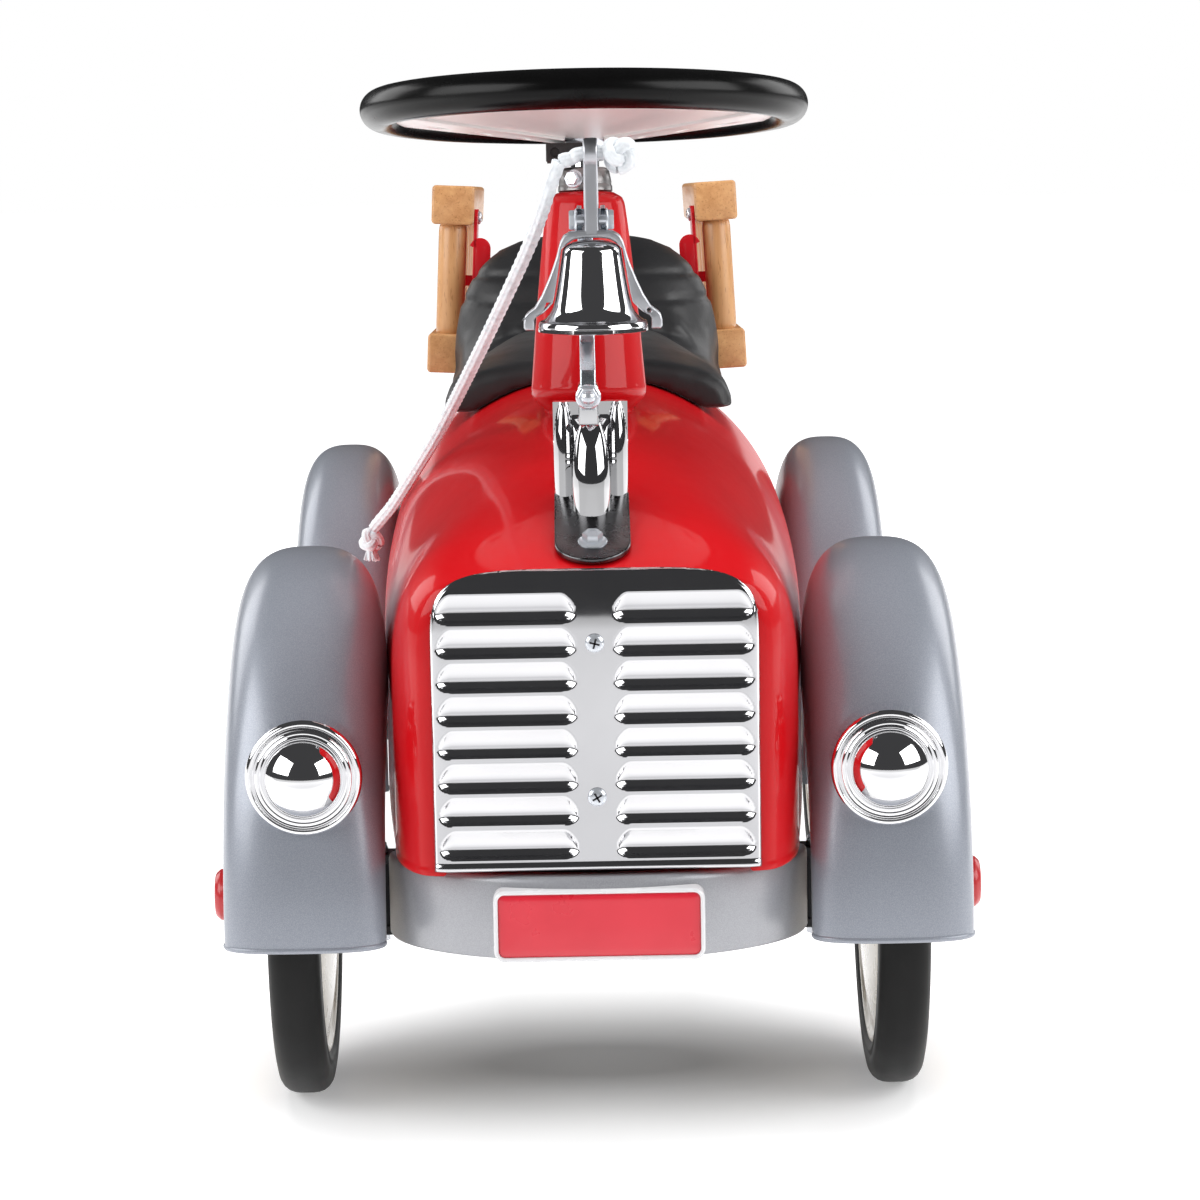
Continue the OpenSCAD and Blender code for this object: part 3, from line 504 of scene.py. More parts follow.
def braided(points, radius, spacing=0.9, sides=40, closed=False):
    """A cotton rope whose strands cross in small diamonds."""
    p = resampled(points, spacing, closed)
    turns = 2 * pi * path_length(p) / BRAID_PITCH

    def relief(share, angle):
        weave = cos(4 * angle + turns * share) * cos(4 * angle - turns * share)
        return radius * (0.66 + 0.34 * sqrt(max(0.0, 0.5 + 0.5 * weave)))

    return tube(p, relief, sides, closed)


def overhand(reach, radius, centre, tilt):
    """A tight knot: a three-lobed loop that fits in a ball of the given reach."""
    s = (reach - radius) / 3
    loop = [(s * (2 + cos(3 * t)) * cos(2 * t), s * (2 + cos(3 * t)) * sin(2 * t), 1.6 * s * sin(3 * t))
        for t in (2 * pi * k / 160 for k in range(160))]
    knot = braided(loop, radius, 0.8, 32, closed=True)
    return placed(knot, turned("Y", tilt, *centre) @ turned("X", 70))


def tassel(x, y, z, strands, length, seed):
    """Loose yarn ends that spread below a knot."""
    pick = random.Random(seed)
    parts = []
    for k in range(strands):
        a, spread = 2 * pi * k / strands, pick.uniform(0.4, 1.0)
        lean, drop = pick.uniform(-0.5, 0.5), length * pick.uniform(0.75, 1)
        path = []
        for t in (0, 0.25, 0.5, 0.75, 1):
            reach, turn = 1.6 + 2.6 * spread * t, a + lean * t
            path.append((x + reach * cos(turn), y + reach * sin(turn), z - drop * t))
        parts.append(tube(path, lambda s, b: 0.75 - 0.25 * s, 7))
    return join(*parts)


def build_rope():
    look = (COTTON, "cotton_rope")
    line = spline(ROUTE, 12)
    rope = make("rope_line", braided(line, ROPE_R), "car_body", look, ["rope"], sharp=80)
    end = line[-1] + np.array([-1.6, 1.6, -6.6])
    end_knot = make("rope_end", join(overhand(7.2, 3.0, tuple(end), 20), tassel(end[0], end[1], end[2] - 4.5,
        26, 7, 5)), "car_body", look, ["rope_end_knot"], sharp=80)
    side_x = BELL_X + 3.9
    through = spline([(side_x + 5, BELL_Y, EYE_Z), (side_x, BELL_Y, EYE_Z), (BELL_X - 4.5, BELL_Y,
        EYE_Z - 0.5), (-6.5, BELL_Y + 1, EYE_Z - 2.5), (-11.6, -318, 444.3)], 6)
    make("rope_knot_at_lever", join(braided(through, ROPE_R), overhand(9.2, 3.5, (side_x + 9.4, BELL_Y,
        EYE_Z - 1), 90)), "bell_arm", look, ["rope_knot"], sharp=80)


# ---- Body outline ----


def barrel_w(y):
    return BODY_HALF_W - 12 * ((90 - y) / 345) ** 2 if y < 90 else BODY_HALF_W


def body_w(y):
    if y < -320:
        full = barrel_w(-320)
        return GRILLE_HALF_W + (full - GRILLE_HALF_W) * sqrt(max(0, 1 - ((-320 - y) / (-320 - NOSE_Y)) ** 2))
    if y > 230:
        return max(8, BODY_HALF_W * max(0, 1 - ((y - 230) / (HALF_LENGTH - 230)) ** 2.5) ** 0.4)
    return barrel_w(y)


def body_top(y):
    if y < -100:
        return RIDGE_Z - 34.2 * ((-100 - y) / 220) ** 2
    if y > 60:
        return RIDGE_Z - 130 * ((y - 60) / 325) ** 2.2
    return RIDGE_Z


def body_spring(y):
    return BASE_Z + 0.418 * (body_top(y) - BASE_Z)


def body_power(y):
    return 2 + (4 * ((-200 - y) / 176) ** 3 if y < -200 else 0)


def arch(w, h, n, degrees):
    c, s = cos(radians(degrees)), sin(radians(degrees))
    return w * copysign(abs(c) ** (2 / n), c), h * abs(s) ** (2 / n)


def body_ring(y, inset):
    """A hemmed section of the shell: side, arch and side, from one rolled lower edge to the other."""
    w, z = body_w(y) - inset, body_spring(y)
    h = body_top(y) - inset - z
    side = [(w - 2.6, BASE_Z + 2.4), (w - 2.2, BASE_Z + 0.6), (w - 1.2, BASE_Z), (w - 0.3, BASE_Z + 0.6),
        (w, BASE_Z + 1.8), (w, BASE_Z + 2.8), (w - 0.5, BASE_Z + 3.6), (w - 0.5, BASE_Z + 5),
        (w, BASE_Z + 6)]
    top = [arch(w, h, body_power(y), 180 * i / 80) for i in range(81)]
    ring = side + [(x, z + dz) for x, dz in top] + [(-x, dz) for x, dz in reversed(side)]
    return [(x, y, dz) for x, dz in ring]


def hood_height(x, y):
    w, z = body_w(y), body_spring(y)
    h, n = body_top(y) - z, body_power(y)
    return z + h * max(0, 1 - (abs(x) / w) ** n) ** (1 / n)


def build_body():
    rows = [body_ring(NOSE_Y + dy, inset) for dy, inset in ((0, 3), (0.3, 1.6), (0.9, 0.7), (1.8, 0.2))]
    length = HALF_LENGTH - NOSE_Y - 6
    count = 110
    rows += [body_ring(NOSE_Y + 3 + length * (1 - cos(pi * i / count)) / 2, 0) for i in range(count + 1)]
    rows += [body_ring(HALF_LENGTH - dy, inset) for dy, inset in ((1.4, 0.2), (0.5, 0.8), (0, 2.2))]
    make("body_skin", capped(rows), "car_body", (RED, "red_paint"), ["body_shell"], sharp=50)


# ---- Nose ----


def arch_size(x, z):
    """The share of the grille's arch that a point above its springing reaches: 1 on the outline."""
    return ((abs(x) / GRILLE_HALF_W) ** 5 + ((z - GRILLE_ARCH_Z) / GRILLE_ARCH_H) ** 5) ** 0.2


def grille_edge(x, z):
    """How far a point of the grille's face lies inside its outline: a square base with an arched top."""
    low = z - (BASE_Z + 2)
    side = GRILLE_HALF_W - abs(x)
    if z <= GRILLE_ARCH_Z:
        return min(low, side)
    size = arch_size(x, z)
    if size < 1e-6:
        return GRILLE_ARCH_H
    under = (1 / size - 1) * hypot(x, z - GRILLE_ARCH_Z)
    return min(low, under) if size > 1 else min(low, side, under)


def grille_snap(x, z):
    """The point itself, or the outline's nearest point along the ray from the arch's centre."""
    z = max(z, BASE_Z + 2)
    if z <= GRILLE_ARCH_Z:
        return max(-GRILLE_HALF_W, min(GRILLE_HALF_W, x)), z
    size = arch_size(x, z)
    return (x, z) if size <= 1 else (x / size, GRILLE_ARCH_Z + (z - GRILLE_ARCH_Z) / size)


def groove_depth(x, z):
    """How deep the long round-ended grooves are pressed into the grille at one place."""
    half, r, count, pitch, middle_x, depth = 30.6, 6.3, 8, 15.1, 39.2, 3.3
    for row in range(count):
        rise = (z - (BASE_Z + 14.5 + row * pitch)) / r
        rise = abs(rise + 0.33 * max(0, 1 - rise * rise))
        past = max(0, abs(abs(x) - middle_x) - (half - r)) / r
        q = hypot(rise, past)
        if q < 1:
            return depth * (1 - q ** 2.2) ** 0.8
    return 0


def grille_lean(x, z):
    """How far the sheet leans back: towards its top, and at its rolled sides."""
    return max(0, z - 241) ** 2 / 205 + max(0, abs(x) - 65.5) ** 2 / 36


def build_grille():
    face_y, columns, lines = NOSE_Y + 0.4, 190, 248
    rows = []
    for i in range(lines + 1):
        row = []
        for k in range(columns + 1):
            x, z = grille_snap((2 * k / columns - 1) * (GRILLE_HALF_W + 0.3), BASE_Z + 1.8 + 136.4 * i / lines)
            d = max(0, grille_edge(x, z))
            height = 4.4 - 2.6 * (1 - min(1, d / 1.3)) ** 2 - grille_lean(x, z)
            lip = abs(z - BASE_Z - 3.8) / 1.9
            height += 0.9 * sqrt(1 - lip ** 2) if lip < 1 else 0
            row.append((x, face_y - height + groove_depth(x, z), z))
        rows.append(row)
    make("grille_face", grid(rows), "car_body", (GRILLE_CHROME, "chrome"), ["grille"], sharp=60)
    heads, recess_shades = [], []
    for z, spin in ((166.5, 30), (235.5, 75)):
        dome, cross = pan_screw(4.2, 2.5)
        m = turned("X", 90, 0, face_y - 4.4, z) @ turned("Z", spin)
        heads.append(placed(dome, m))
        recess_shades.append(placed(cross, m))
    make("grille_screw_heads", join(*heads), "car_body", (ZINC, "screw_steel"), ["grille_screws"])
    # Painted shade: the cross recesses of these screws are thin crosses in dark paint.
    make("grille_screw_recess_shade", join(*recess_shades), "car_body", (BLACK_STEEL, "dark_steel"))


def build_bumper():
    section = [(3.2, 93.2), (2.2, 93), (0.8, 93.3), (0, 94.6), (0, 127.6), (0.5, 129.6), (1.6, 130.7),
        (3, 131), (11.6, 131), (12.8, 130.5), (13, 129.4), (12.4, 128.9), (4.6, 128.7), (3.5, 127.8),
        (3.2, 126)]
    rows = [[((96 - t) * cos(a), -320 + (65 - t) * sin(a), z) for t, z in section] for a in sweep(180, 360,
        90)]
    make("bumper_strip", capped(rows), "car_body", (SATIN, "satin_paint"), ["bumper"], sharp=60)

    def outline(inset, y):
        flat = rounded_rectangle(PLATE_W - 2 * inset, PLATE_H - 2 * inset, max(1.2, 5 - inset))
        return [(x, y, PLATE_Z + z) for x, z in flat]

    frame_rows = [outline(i, y) for i, y in ((0, -370.5), (0, -386.0), (0.3, -386.9), (1, -387.5),
        (1.3, -387.5), (1.7, -387.3), (2.0, -386.7), (2.1, -385.4))]
    make("plate_border", grid(frame_rows, ring=True), "car_body", (PLATE_WHITE, "frame_plastic"),
        ["plate_frame"], sharp=60)
    panel_rows = [outline(i, y) for i, y in ((2.0, -385.6), (2.2, -386.2), (2.8, -386.4), (6, -386.5),
        (10, -386.62), (14, -386.68))]
    make("plate_face", capped(panel_rows), "car_body", (PLATE_RED, "plate_enamel"), ["plate_panel"], sharp=60)


# ---- Fenders and headlights ----


def crown(a, t):
    return 1 / hypot(cos(a) / (FENDER_REACH - t), sin(a) / (FENDER_TOP_Z - ARCH_Z - t))


def fender_arc(cy, in_x, degrees, t, steps):
    a = radians(degrees)
    out = []
    for i in range(steps + 1):
        c = -cos(pi * i / steps)
        r = ARCH_R + (crown(a, t) - ARCH_R) * max(0, 1 - abs(c) ** 2.9) ** (1 / 2.9)
        y = cy - r * cos(a)
        x0 = max(in_x, body_w(y)) + 0.3 + t
        out.append((x0 + (FENDER_OUT_X - t - x0) * (c + 1) / 2, y, ARCH_Z + r * sin(a)))
    return out


def build_fender(end, side):
    cy, in_x, start, stop = (FRONT_Y, 96, 0, 165) if end == "front" else (REAR_Y, BODY_HALF_W - 1, 12, 180)
    count, steps = 84, 40
    rows, hem_out, hem_in = [], [], []
    for j in range(count + 1):
        a = start + (stop - start) * j / count
        outer, inner = fender_arc(cy, in_x, a, 0, steps), fender_arc(cy, in_x, a, SHEET, steps)
        rows.append(outer + inner[::-1])
        ring, hem_r = radians(a), ARCH_R + 1.2
        hem_out.append((FENDER_OUT_X - 1.7, cy - hem_r * cos(ring), ARCH_Z + hem_r * sin(ring)))
        hem_in.append((outer[0][0] + 1.7, hem_out[-1][1], hem_out[-1][2]))
    ends = [tube([tuple(np.mean([p, q], axis=0)) for p, q in zip(row[1:steps], row[:steps:-1][1:steps])],
        1.5, 10) for row in (rows[0], rows[-1])]
    part = join(capped(rows), tube(hem_out, 1.7, 14), tube(hem_in, 1.5, 12), *ends)
    make(f"fender_skin_{end}_{side}", mirrored(part, SIDES[side]), "car_body", (SILVER, "silver_paint"),
        [f"fender_{end}_{side}"], sharp=55)


def build_headlight(side):
    profile = [(20, -26), (25.2, -26), (25.8, -25.2), (26.0, -20), (25.9, -3), (26.2, -1.6), (26.2, 0.4),
        (25.7, 1.6), (24.9, 2.3), (24.1, 2.4), (23.4, 1.9), (22.9, 1.1), (22.4, 1.2), (21.9, 2.2),
        (21.1, 3.0), (20.1, 3.1), (19.4, 2.5), (18.9, 1.6), (18.3, 1.5), (17.8, 2.3), (17.5, 3.7)]
    ball, back = 19.7, -4
    for a in sweep(60.8, 0, 24):
        profile.append((ball * sin(a), back + ball * cos(a)))
    part = placed(lathe(profile, 128), turned("X", 90, LIGHT_X, LIGHT_Y, LIGHT_Z))
    make(f"headlight_cup_{side}", mirrored(part, SIDES[side]), "car_body", (CHROME, "chrome"),
        [f"headlight_{side}"], sharp=60)


# ---- Wheels ----


def both_ways(half):
    """A wheel profile given for one face, completed with its other face."""
    return [(r, -h) for r, h in half] + [(r, h) for r, h in reversed(half)]


def build_wheel(end, side):
    body = f"{end}_{side}_wheel"
    m = turned("Y", 90, WHEEL_X, FRONT_Y if end == "front" else REAR_Y, AXLE_Z)
    sign = SIDES[side]

    def piece(name, profile, look, node):
        make(f"{name}_{end}_{side}", mirrored(placed(lathe(profile, 128, closed=True), m), sign), body, look,
            [f"{node}_{end}_{side}"], sharp=50)

    piece("tyre_ring", both_ways([(76, 10), (78, 11), (79.4, 11.9), (80.6, 11.9), (81.6, 11.3), (82.6, 11.3),
        (83.4, 12), (87.6, 12), (90, 11.5), (92.2, 10.1), (93.8, 8.1), (94.7, 5.6), (95, 3), (95, 1)]),
        (RUBBER, "tyre_rubber"), "tyre")
    piece("disc_wheel", both_ways([(5.2, 17), (15.2, 17), (16.3, 16.6), (17.2, 15.6), (18.4, 14.3),
        (20.5, 13.7), (30, 13.4), (42, 12.7), (52, 11.8), (61, 10.5), (67, 9.3), (70, 9.0), (71.8, 9.5),
        (73.6, 10.6), (75.0, 10.9), (76, 10.2)]), (CREAM, "disc_plastic"), "wheel")
    out = HUB_CAP_X - WHEEL_X
    cap = [(0.01, 17), (10.4, 17), (12.2, 17), (12.4, 17.4), (12.4, out - 3), (12.0, out - 2.1),
        (10.6, out - 0.5), (9.8, out), (8.4, out), (7.6, out - 0.3), (0.01, out - 0.3)]
    make(f"axle_cap_{end}_{side}", mirrored(placed(lathe(cap, 72), m), sign), body,
        (RED_PLASTIC, "red_plastic"), [f"hub_cap_{end}_{side}"])


# ---- Steering ----

ON_COLUMN = turned("X", -TILT, 0, RIM_Y, RIM_Z)


def build_cover():
    """The tapered column cover: it turns in at its foot, and is trimmed along the hood."""
    profile = [(12, -41.9), (14.2, -41.9), (14.9, -42.3), (17.2, -43.6), (18.1, -44.3), (19.2, -46.8),
        (19.6, -49), (20.4, -55), (20.9, -59), (22, -69), (24.1, -90), (26.2, -112), (27.3, -126),
        (28.2, -136), (28.5, -138.5), (28.2, -140.6), (27.2, -142.6), (24.6, -145.4), (21, -148.6),
        (19.5, -150.4), (19.5, -154)]
    dense = [profile[0]]
    for (r0, h0), (r1, h1) in zip(profile, profile[1:]):
        steps = max(1, int(abs(h1 - h0) / 0.8))
        dense += [(r0 + (r1 - r0) * k / steps, h0 + (h1 - h0) * k / steps) for k in range(1, steps + 1)]
    rows = [[] for k in range(len(dense))]
    for k in range(96):
        a, last = 2 * pi * k / 96, None
        for row, (r, h) in zip(rows, dense):
            p = ON_COLUMN @ Vector((r * cos(a), r * sin(a), h))
            if p.z < hood_height(p.x, p.y) + 0.3:
                p = Vector((last.x, last.y, hood_height(last.x, last.y) + 0.1))
            else:
                last = p
            row.append(p)
    make("cover_cone", grid(rows, ring=True), "car_body", (RED, "red_paint"), ["column_cover"], sharp=60)


def build_column():
    shaft = [(7, -368), (7, -340), (11, -339.4), (11, -333.4), (7, -333), (7, -50), (6.9, -16)]
    crank = [prism(circle(7, 0, 30), -368, -363), block(-7, 7, 0, 30, -368, -363), prism(circle(3, 0, 30),
        -382, -368), prism(circle(11), -368, -363)]
    make("column_shaft", placed(join(lathe(shaft, 48), *crank), ON_COLUMN), "steering", (CHROME, "chrome"),
        ["steering_shaft"])
    collar = [(7.05, -41.6), (12.8, -41.6), (13.4, -41), (13.3, -38.6), (12.9, -38), (12.9, -37.2),
        (13.0, -36.6), (12.0, -31.4), (11.4, -30.2), (10.4, -29.6), (7.05, -29.6)]
    make("clamp_collar", placed(lathe(collar, 72, closed=True), ON_COLUMN), "steering",
        (GREY_IRON, "cast_metal"), ["shaft_collar"])
    bolt = placed(hex_bolt(3.6, 4.2, 4.6), turned("Z", -25) @ turned("X", 90, 0, -12.9, -35.6))
    make("collar_screw", placed(bolt, ON_COLUMN), "steering", (ZINC, "screw_steel"), ["collar_bolt"])
    hub = [(7.05, -26), (9.0, -26), (9.5, -25.5), (9.5, -12.4), (10.2, -11.3), (17, -11), (18, -10.2),
        (18, -4), (17.4, -3.1), (15.8, -3.0), (15.4, -3.5), (15.4, -9), (7.05, -9)]
    make("hub_boss", placed(lathe(hub, 96, closed=True), ON_COLUMN), "steering", (ZINC, "chrome"),
        ["steering_hub"], sharp=50)
    button = [(0.01, -5.5), (14.2, -5.5), (14.8, -5.2), (15, -4.6), (15, 0.2), (14.7, 1.3), (13.9, 2.0)]
    button += [(13.4 * (1 - k / 12), -23.2 + sqrt(29 ** 2 - (13.4 * (1 - k / 12)) ** 2)) for k in range(13)]
    make("horn_push", placed(lathe(button, 96), ON_COLUMN), "horn", (RED_PLASTIC, "red_plastic"),
        ["horn_button"])
    ring = []
    for k in range(48):
        a = 2 * pi * k / 48
        seam = remainder(a - pi, 2 * pi)
        r = RIM_TUBE_R - 0.3 * exp(-(seam / 0.07) ** 2)
        ring.append((RIM_R + r * cos(a), r * sin(a)))
    make("ring_grip", placed(lathe(ring, 192, closed=True), ON_COLUMN), "steering", (BLACK_PLASTIC,
        "black_plastic"), ["steering_rim"])
    face = plate([[(-19, -26.8), (0, -26.8), (0, -17.8), (-19, -17.8)], circle(2.4, -14.6, -22.4),
        circle(2.0, -4.2, -22.4)], 2, 0.5)
    face = placed(face, turned("X", 90, 0, -9.6, 0))
    box = join(block(-18.6, -0.5, -8.8, -5, -26.4, -18.2), block(-18.6, -9.6, -8.8, 8.8, -26.4, -18.2))
    make("horn_switch_box", placed(join(face, box), ON_COLUMN), "steering", (BOX_PLASTIC, "black_plastic"),
        ["horn_box"], edge=0.6)


def build_spokes():
    dish, limit = radians(8), 94
    rows = []
    for a in sweep(180, 360, 44):
        row = []
        for r, lift in ((9.6, 0), (40, 0), (70, 0), (limit - 0.8, 0), (limit, 0.6), (limit, 1.1), (70, 1.5),
                (9.6, 1.5)):
            row.append((r * cos(a), r * sin(a), -16 + (r - 8) * tan(dish) + lift))
        rows.append(row)
    part = [capped(rows)]
    holes = ((30, 3.5), (50, 4.5), (71, 5.5))
    for turn in (0, 90, 180):
        sway = {0: 7.5, 90: 0, 180: -7.5}[turn]
        outline = [(1.6, -10.6)]
        outline += [((limit * cos(t) - 8) / cos(dish), limit * sin(t)) for t in sweep(-16.4, 16.4, 14)]
        outline += [(1.6, 10.6)]
        cuts = [circle(r, (at - 8) / cos(dish), sway, 28) for at, r in holes]
        arm = plate([outline] + cuts, 2.2, 0.5)
        m = turned("Z", turn) @ Matrix.Translation((8, 0, -16.1)) @ Matrix.Rotation(-dish, 4, "Y")
        part.append(placed(arm, m))
    make("ring_spokes", placed(join(*part), ON_COLUMN), "steering", (SHEET_METAL, "chrome"),
        ["steering_spokes"], sharp=30)


# ---- Bell ----


def bell_skin(h):
    if h > 35:
        return 13.4 * max(0, 1 - ((h - 35) / (BELL_H - 35)) ** 2.4) ** 0.42
    return 13.4 + 0.155 * (35 - h) + 4.7 * exp(-(h - 5) / 3.4)


AT_BELL = Matrix.Translation((BELL_X, BELL_Y, BELL_MOUTH_Z))
ACROSS_X = Matrix(((0, 0, 1), (1, 0, 0), (0, 1, 0))).to_4x4()


def in_yz(outlines, thick, edge, x):
    """A plate drawn in Y and Z, centred on X = x."""
    return placed(plate(outlines, thick, edge), Matrix.Translation((x, 0, 0)) @ ACROSS_X)


def build_bell():
    wall = 1.6
    skin = [(bell_skin(h), h) for h in [5 + 0.5 * k for k in range(14)] + [12 + 1.5 * k for k in range(15)]]
    skin += [(bell_skin(h), h) for h in [35 + 6 * sin(a) for a in sweep(0, 90, 15)]]
    lip = [(23.2, 0), (24.5, 0.05), (24.8, 0.3), (24.68, 1.9), (24.4, 2.1), (24.38, 2.35), (24.6, 2.55),
        (24.4, 4.2), (24.0, 4.6), (23.4, 4.9)]
    inside = [(max(0.01, r - wall), h - wall) for r, h in reversed(skin)] + [(22.0, 1.6)]
    make("bell_cup", placed(lathe(lip + skin + inside, 144, closed=True), AT_BELL), "bell_arm",
        (CHROME, "chrome"), ["bell"], sharp=50)
    rod = [(0.01, 2.5), (2.6, 3.1), (4.6, 5), (5.5, 8), (5.1, 10.2), (3.8, 12), (1.9, 13.2), (1.4, 14),
        (1.3, 33)]
    pin = placed(lathe([(1, -4.6), (1, 4.6)], 20), turned("Y", 90, 0, 0, 33))
    make("clapper_drop", placed(join(lathe(rod, 40), pin), AT_BELL), "bell_clapper", (ZINC, "screw_steel"),
        ["clapper"])
    heights = [13 + 2 * k for k in range(13)]
    inner = [(26.4, 1), (26.4, 5.6), (25.4, 7.0), (22.6, 8.4), (20.4, 10.4)]
    inner += [(bell_skin(h) + 0.7, h) for h in heights] + [(10.6, 39.8), (8, 41.4), (4, 42)]
    outer = [(5, 45.6), (9.6, 45), (12.6, 43.2), (14.2, 40.4), (15.6, 35), (17.4, 29.5), (20, 23),
        (23, 16.4), (26.2, 11.2), (29.2, 9.0), (30.6, 7.4), (31.2, 5), (31.2, 2.2), (30.4, 1)]
    outline = outer + inner + [(-x, z) for x, z in reversed(inner)] + [(-x, z) for x, z in reversed(outer)]
    eyelets = [[(-27.6, 7.9), (-25.2, 9.9), (-22.6, 11.4), (-23.4, 9.4)], circle(0.9, 25.2, 9.2, 16)]
    yoke = placed(plate([outline] + eyelets, 8, 0.9), turned("X", 90))
    lift = EYE_Z - BELL_MOUTH_Z
    arc = [(6.6 * sin(t), lift - 6.6 * cos(t)) for t in sweep(37.4, 322.6, 24)]
    lever = in_yz([[(-4, 43.4), (4, 43.4)] + arc, circle(4.2, 0, lift), circle(2.56, 0,
        PIVOT_Z - BELL_MOUTH_Z)], 6.6, 1.0, 0)
    make("bell_bow", placed(join(yoke, lever), AT_BELL), "bell_arm", (CAST, "cast_metal"), ["bell_yoke"],
        sharp=42)


def build_hanger():
    back, low = BELL_Y + BELL_R + 4.4, 333
    strap = [(-326, low), (-326, 347), (-324.4, 351), (back - 2.2, 361), (back - 0.5, 364.4), (back, 369),
        (back, PIVOT_Z - 6), (back + 2.5, PIVOT_Z - 6), (back + 2.5, 368), (back + 1.8, 363),
        (back - 0.2, 359.4), (-322.3, 349), (-323.5, 345.6), (-323.5, low)]
    parts = [in_yz([strap], 7, 0.7, BOLT_X)]
    for s in (-1, 1):
        ear = [(BELL_Y + 5 * sin(t), PIVOT_Z + 5 * cos(t)) for t in sweep(-180, -360, 16)]
        ear = [(back + 2.5, PIVOT_Z - 5), *reversed(ear), (back + 2.5, PIVOT_Z + 5)]
        parts.append(in_yz([ear], 2.2, 0.5, BELL_X + s * 5.4))
    parts.append(block(BELL_X - 6.4, BELL_X + 6.4, back, back + 2.5, PIVOT_Z - 8, PIVOT_Z + 3.5))
    make("bell_strap", join(*parts), "car_body", (STRAP, "cast_metal"), ["bell_hanger"], sharp=35)
    ends = [placed(lathe([(2.5, -6.5), (2.5, 6.5)], 32), turned("Y", 90, BELL_X, BELL_Y, PIVOT_Z))]
    for s in (-1, 1):
        ends.append(placed(hex_bolt(4.4, 3.6, 5.2), turned("Y", 90 * s, BELL_X + s * 6.5, BELL_Y, PIVOT_Z)))
    make("pivot_bolt_ends", join(*ends), "car_body", (ZINC, "screw_steel"), ["pivot_bolt"])


FOOT_Y, FOOT_SLOPE = -347, 19.4
ON_FOOT = turned("X", FOOT_SLOPE, 0, FOOT_Y, body_top(FOOT_Y) + 0.4)


def stand_front(x, z):
    """How far forward the stand's upright reaches: a bullet-shaped nose between two slimmer ones."""
    y = -306.0
    side = 4.8 * sqrt(max(0, 1 - max(0, (z - 308) / 28) ** 2))
    off = abs(abs(x) - 12.2)
    if off < side:
        y = min(y, -306 - 1.5 * sqrt(side ** 2 - off ** 2))
    nose = 8.6 * sqrt(max(0, 1 - max(0, (z - 298) / 34) ** 2))
    if abs(x) < nose:
        y = min(y, -306 - (18 + sqrt(nose ** 2 - x ** 2)) * (nose / 8.6) ** 0.5)
    if abs(x) < 11:
        y = min(y, -306 - 10 * max(0, 1 - max(0, (z - 300) / 28) ** 2) * (1 - (abs(x) / 11) ** 4))
    return y


def build_stand():
    w, count, back_y, top_z = STAND_HALF_W, 136, -300.0, 335
    across = [-w + 2 * w * k / count for k in range(count + 1)]

    def height(y, share):
        low = body_top(FOOT_Y) + 3.2 + (y - FOOT_Y) * tan(radians(FOOT_SLOPE))
        return low + (top_z - low) * share

    rows = []
    for v in [k / 60 for k in range(61)]:
        row = []
        for x in across:
            z = height(stand_front(x, 300), v)
            row.append((x, stand_front(x, z), z))
        row += [(x, back_y, height(back_y, v)) for x in reversed(across)]
        rows.append(row)
    toe = [(w * cos(t), -8.5 + w * sin(t)) for t in sweep(180, 360, 32)]
    foot = placed(plate([[(w, 41.5), (-w, 41.5)] + toe], 3, 0.9), ON_FOOT @ Matrix.Translation((0, 0, 1.5)))
    tongue = placed(plate([[(-4.5, 326), (4.5, 326), (4.5, 343), (3, 345), (-3, 345), (-4.5, 343)]], 22,
        0.8), turned("X", 90, BOLT_X, -312.4, 0))
    make("bell_post", join(capped(rows), tongue), "car_body", (POST_CHROME, "chrome"), ["bell_stand"],
        sharp=30)
    # Painted reflection: the foot plate's chrome has a dark grey base colour, unlike the bright chrome
    # upright.
    make("bell_foot", foot, "car_body", (FOOT_CHROME_PAINTED_DARK, "chrome"), sharp=30)
    foot_bolt = placed(hex_bolt(4.6, 4.8, 6.6), ON_FOOT @ Matrix.Translation((0, -8.5, 3)))
    upper = join(hex_bolt(4.8, 4.0, 5.7), lathe([(3.4, 3.4), (3.1, 4.6), (2.2, 5.6), (0.01, 6.0)], 32))
    upper = placed(upper, turned("X", 90, BOLT_X, -326, 339))
    make("stand_bolt_heads", join(foot_bolt, upper), "car_body", (ZINC, "screw_steel"), ["stand_bolts"])


# ---- Seat ----

SEAT_FRONT, SEAT_BACK, SEAT_LOW, SEAT_HALF_W = -20, 135, 302, 75


def seat_top(y):
    u, e = min(1, max(0, (y - 92) / 34)), min(1, max(0, (y - 128) / 10))
    return 327 + 5 * min(1, (y - SEAT_FRONT) / 30) + 56 * u * u * (3 - 2 * u) - 7 * e * e


def seat_ring(y, inset):
    """One section of the saddle: its crowned top, then its underside along the body."""
    steps, n, over = 40, body_power(y), 0.5
    w, s = body_w(y) + over, body_spring(y)
    h = body_top(y) - s + over
    low = math.degrees(asin(((SEAT_LOW - s) / h) ** (n / 2)))
    ring = []
    for i in range(steps + 1):
        a = 180 - 180 * i / steps
        x, z = arch(SEAT_HALF_W + 1 - inset, seat_top(y) - SEAT_LOW - inset, 2.9, a)
        groove = 0.9 * exp(-((seat_top(y) - 352) / 1.6) ** 2) + 0.9 * exp(-((seat_top(y) - 366) / 1.6) ** 2)
        ring.append((x * (1 - groove / 75), y, SEAT_LOW + z - groove))
    for i in range(steps + 1):
        x, z = arch(w, h, n, low + (180 - 2 * low) * i / steps)
        ring.append((x, y, s + z))
    return ring


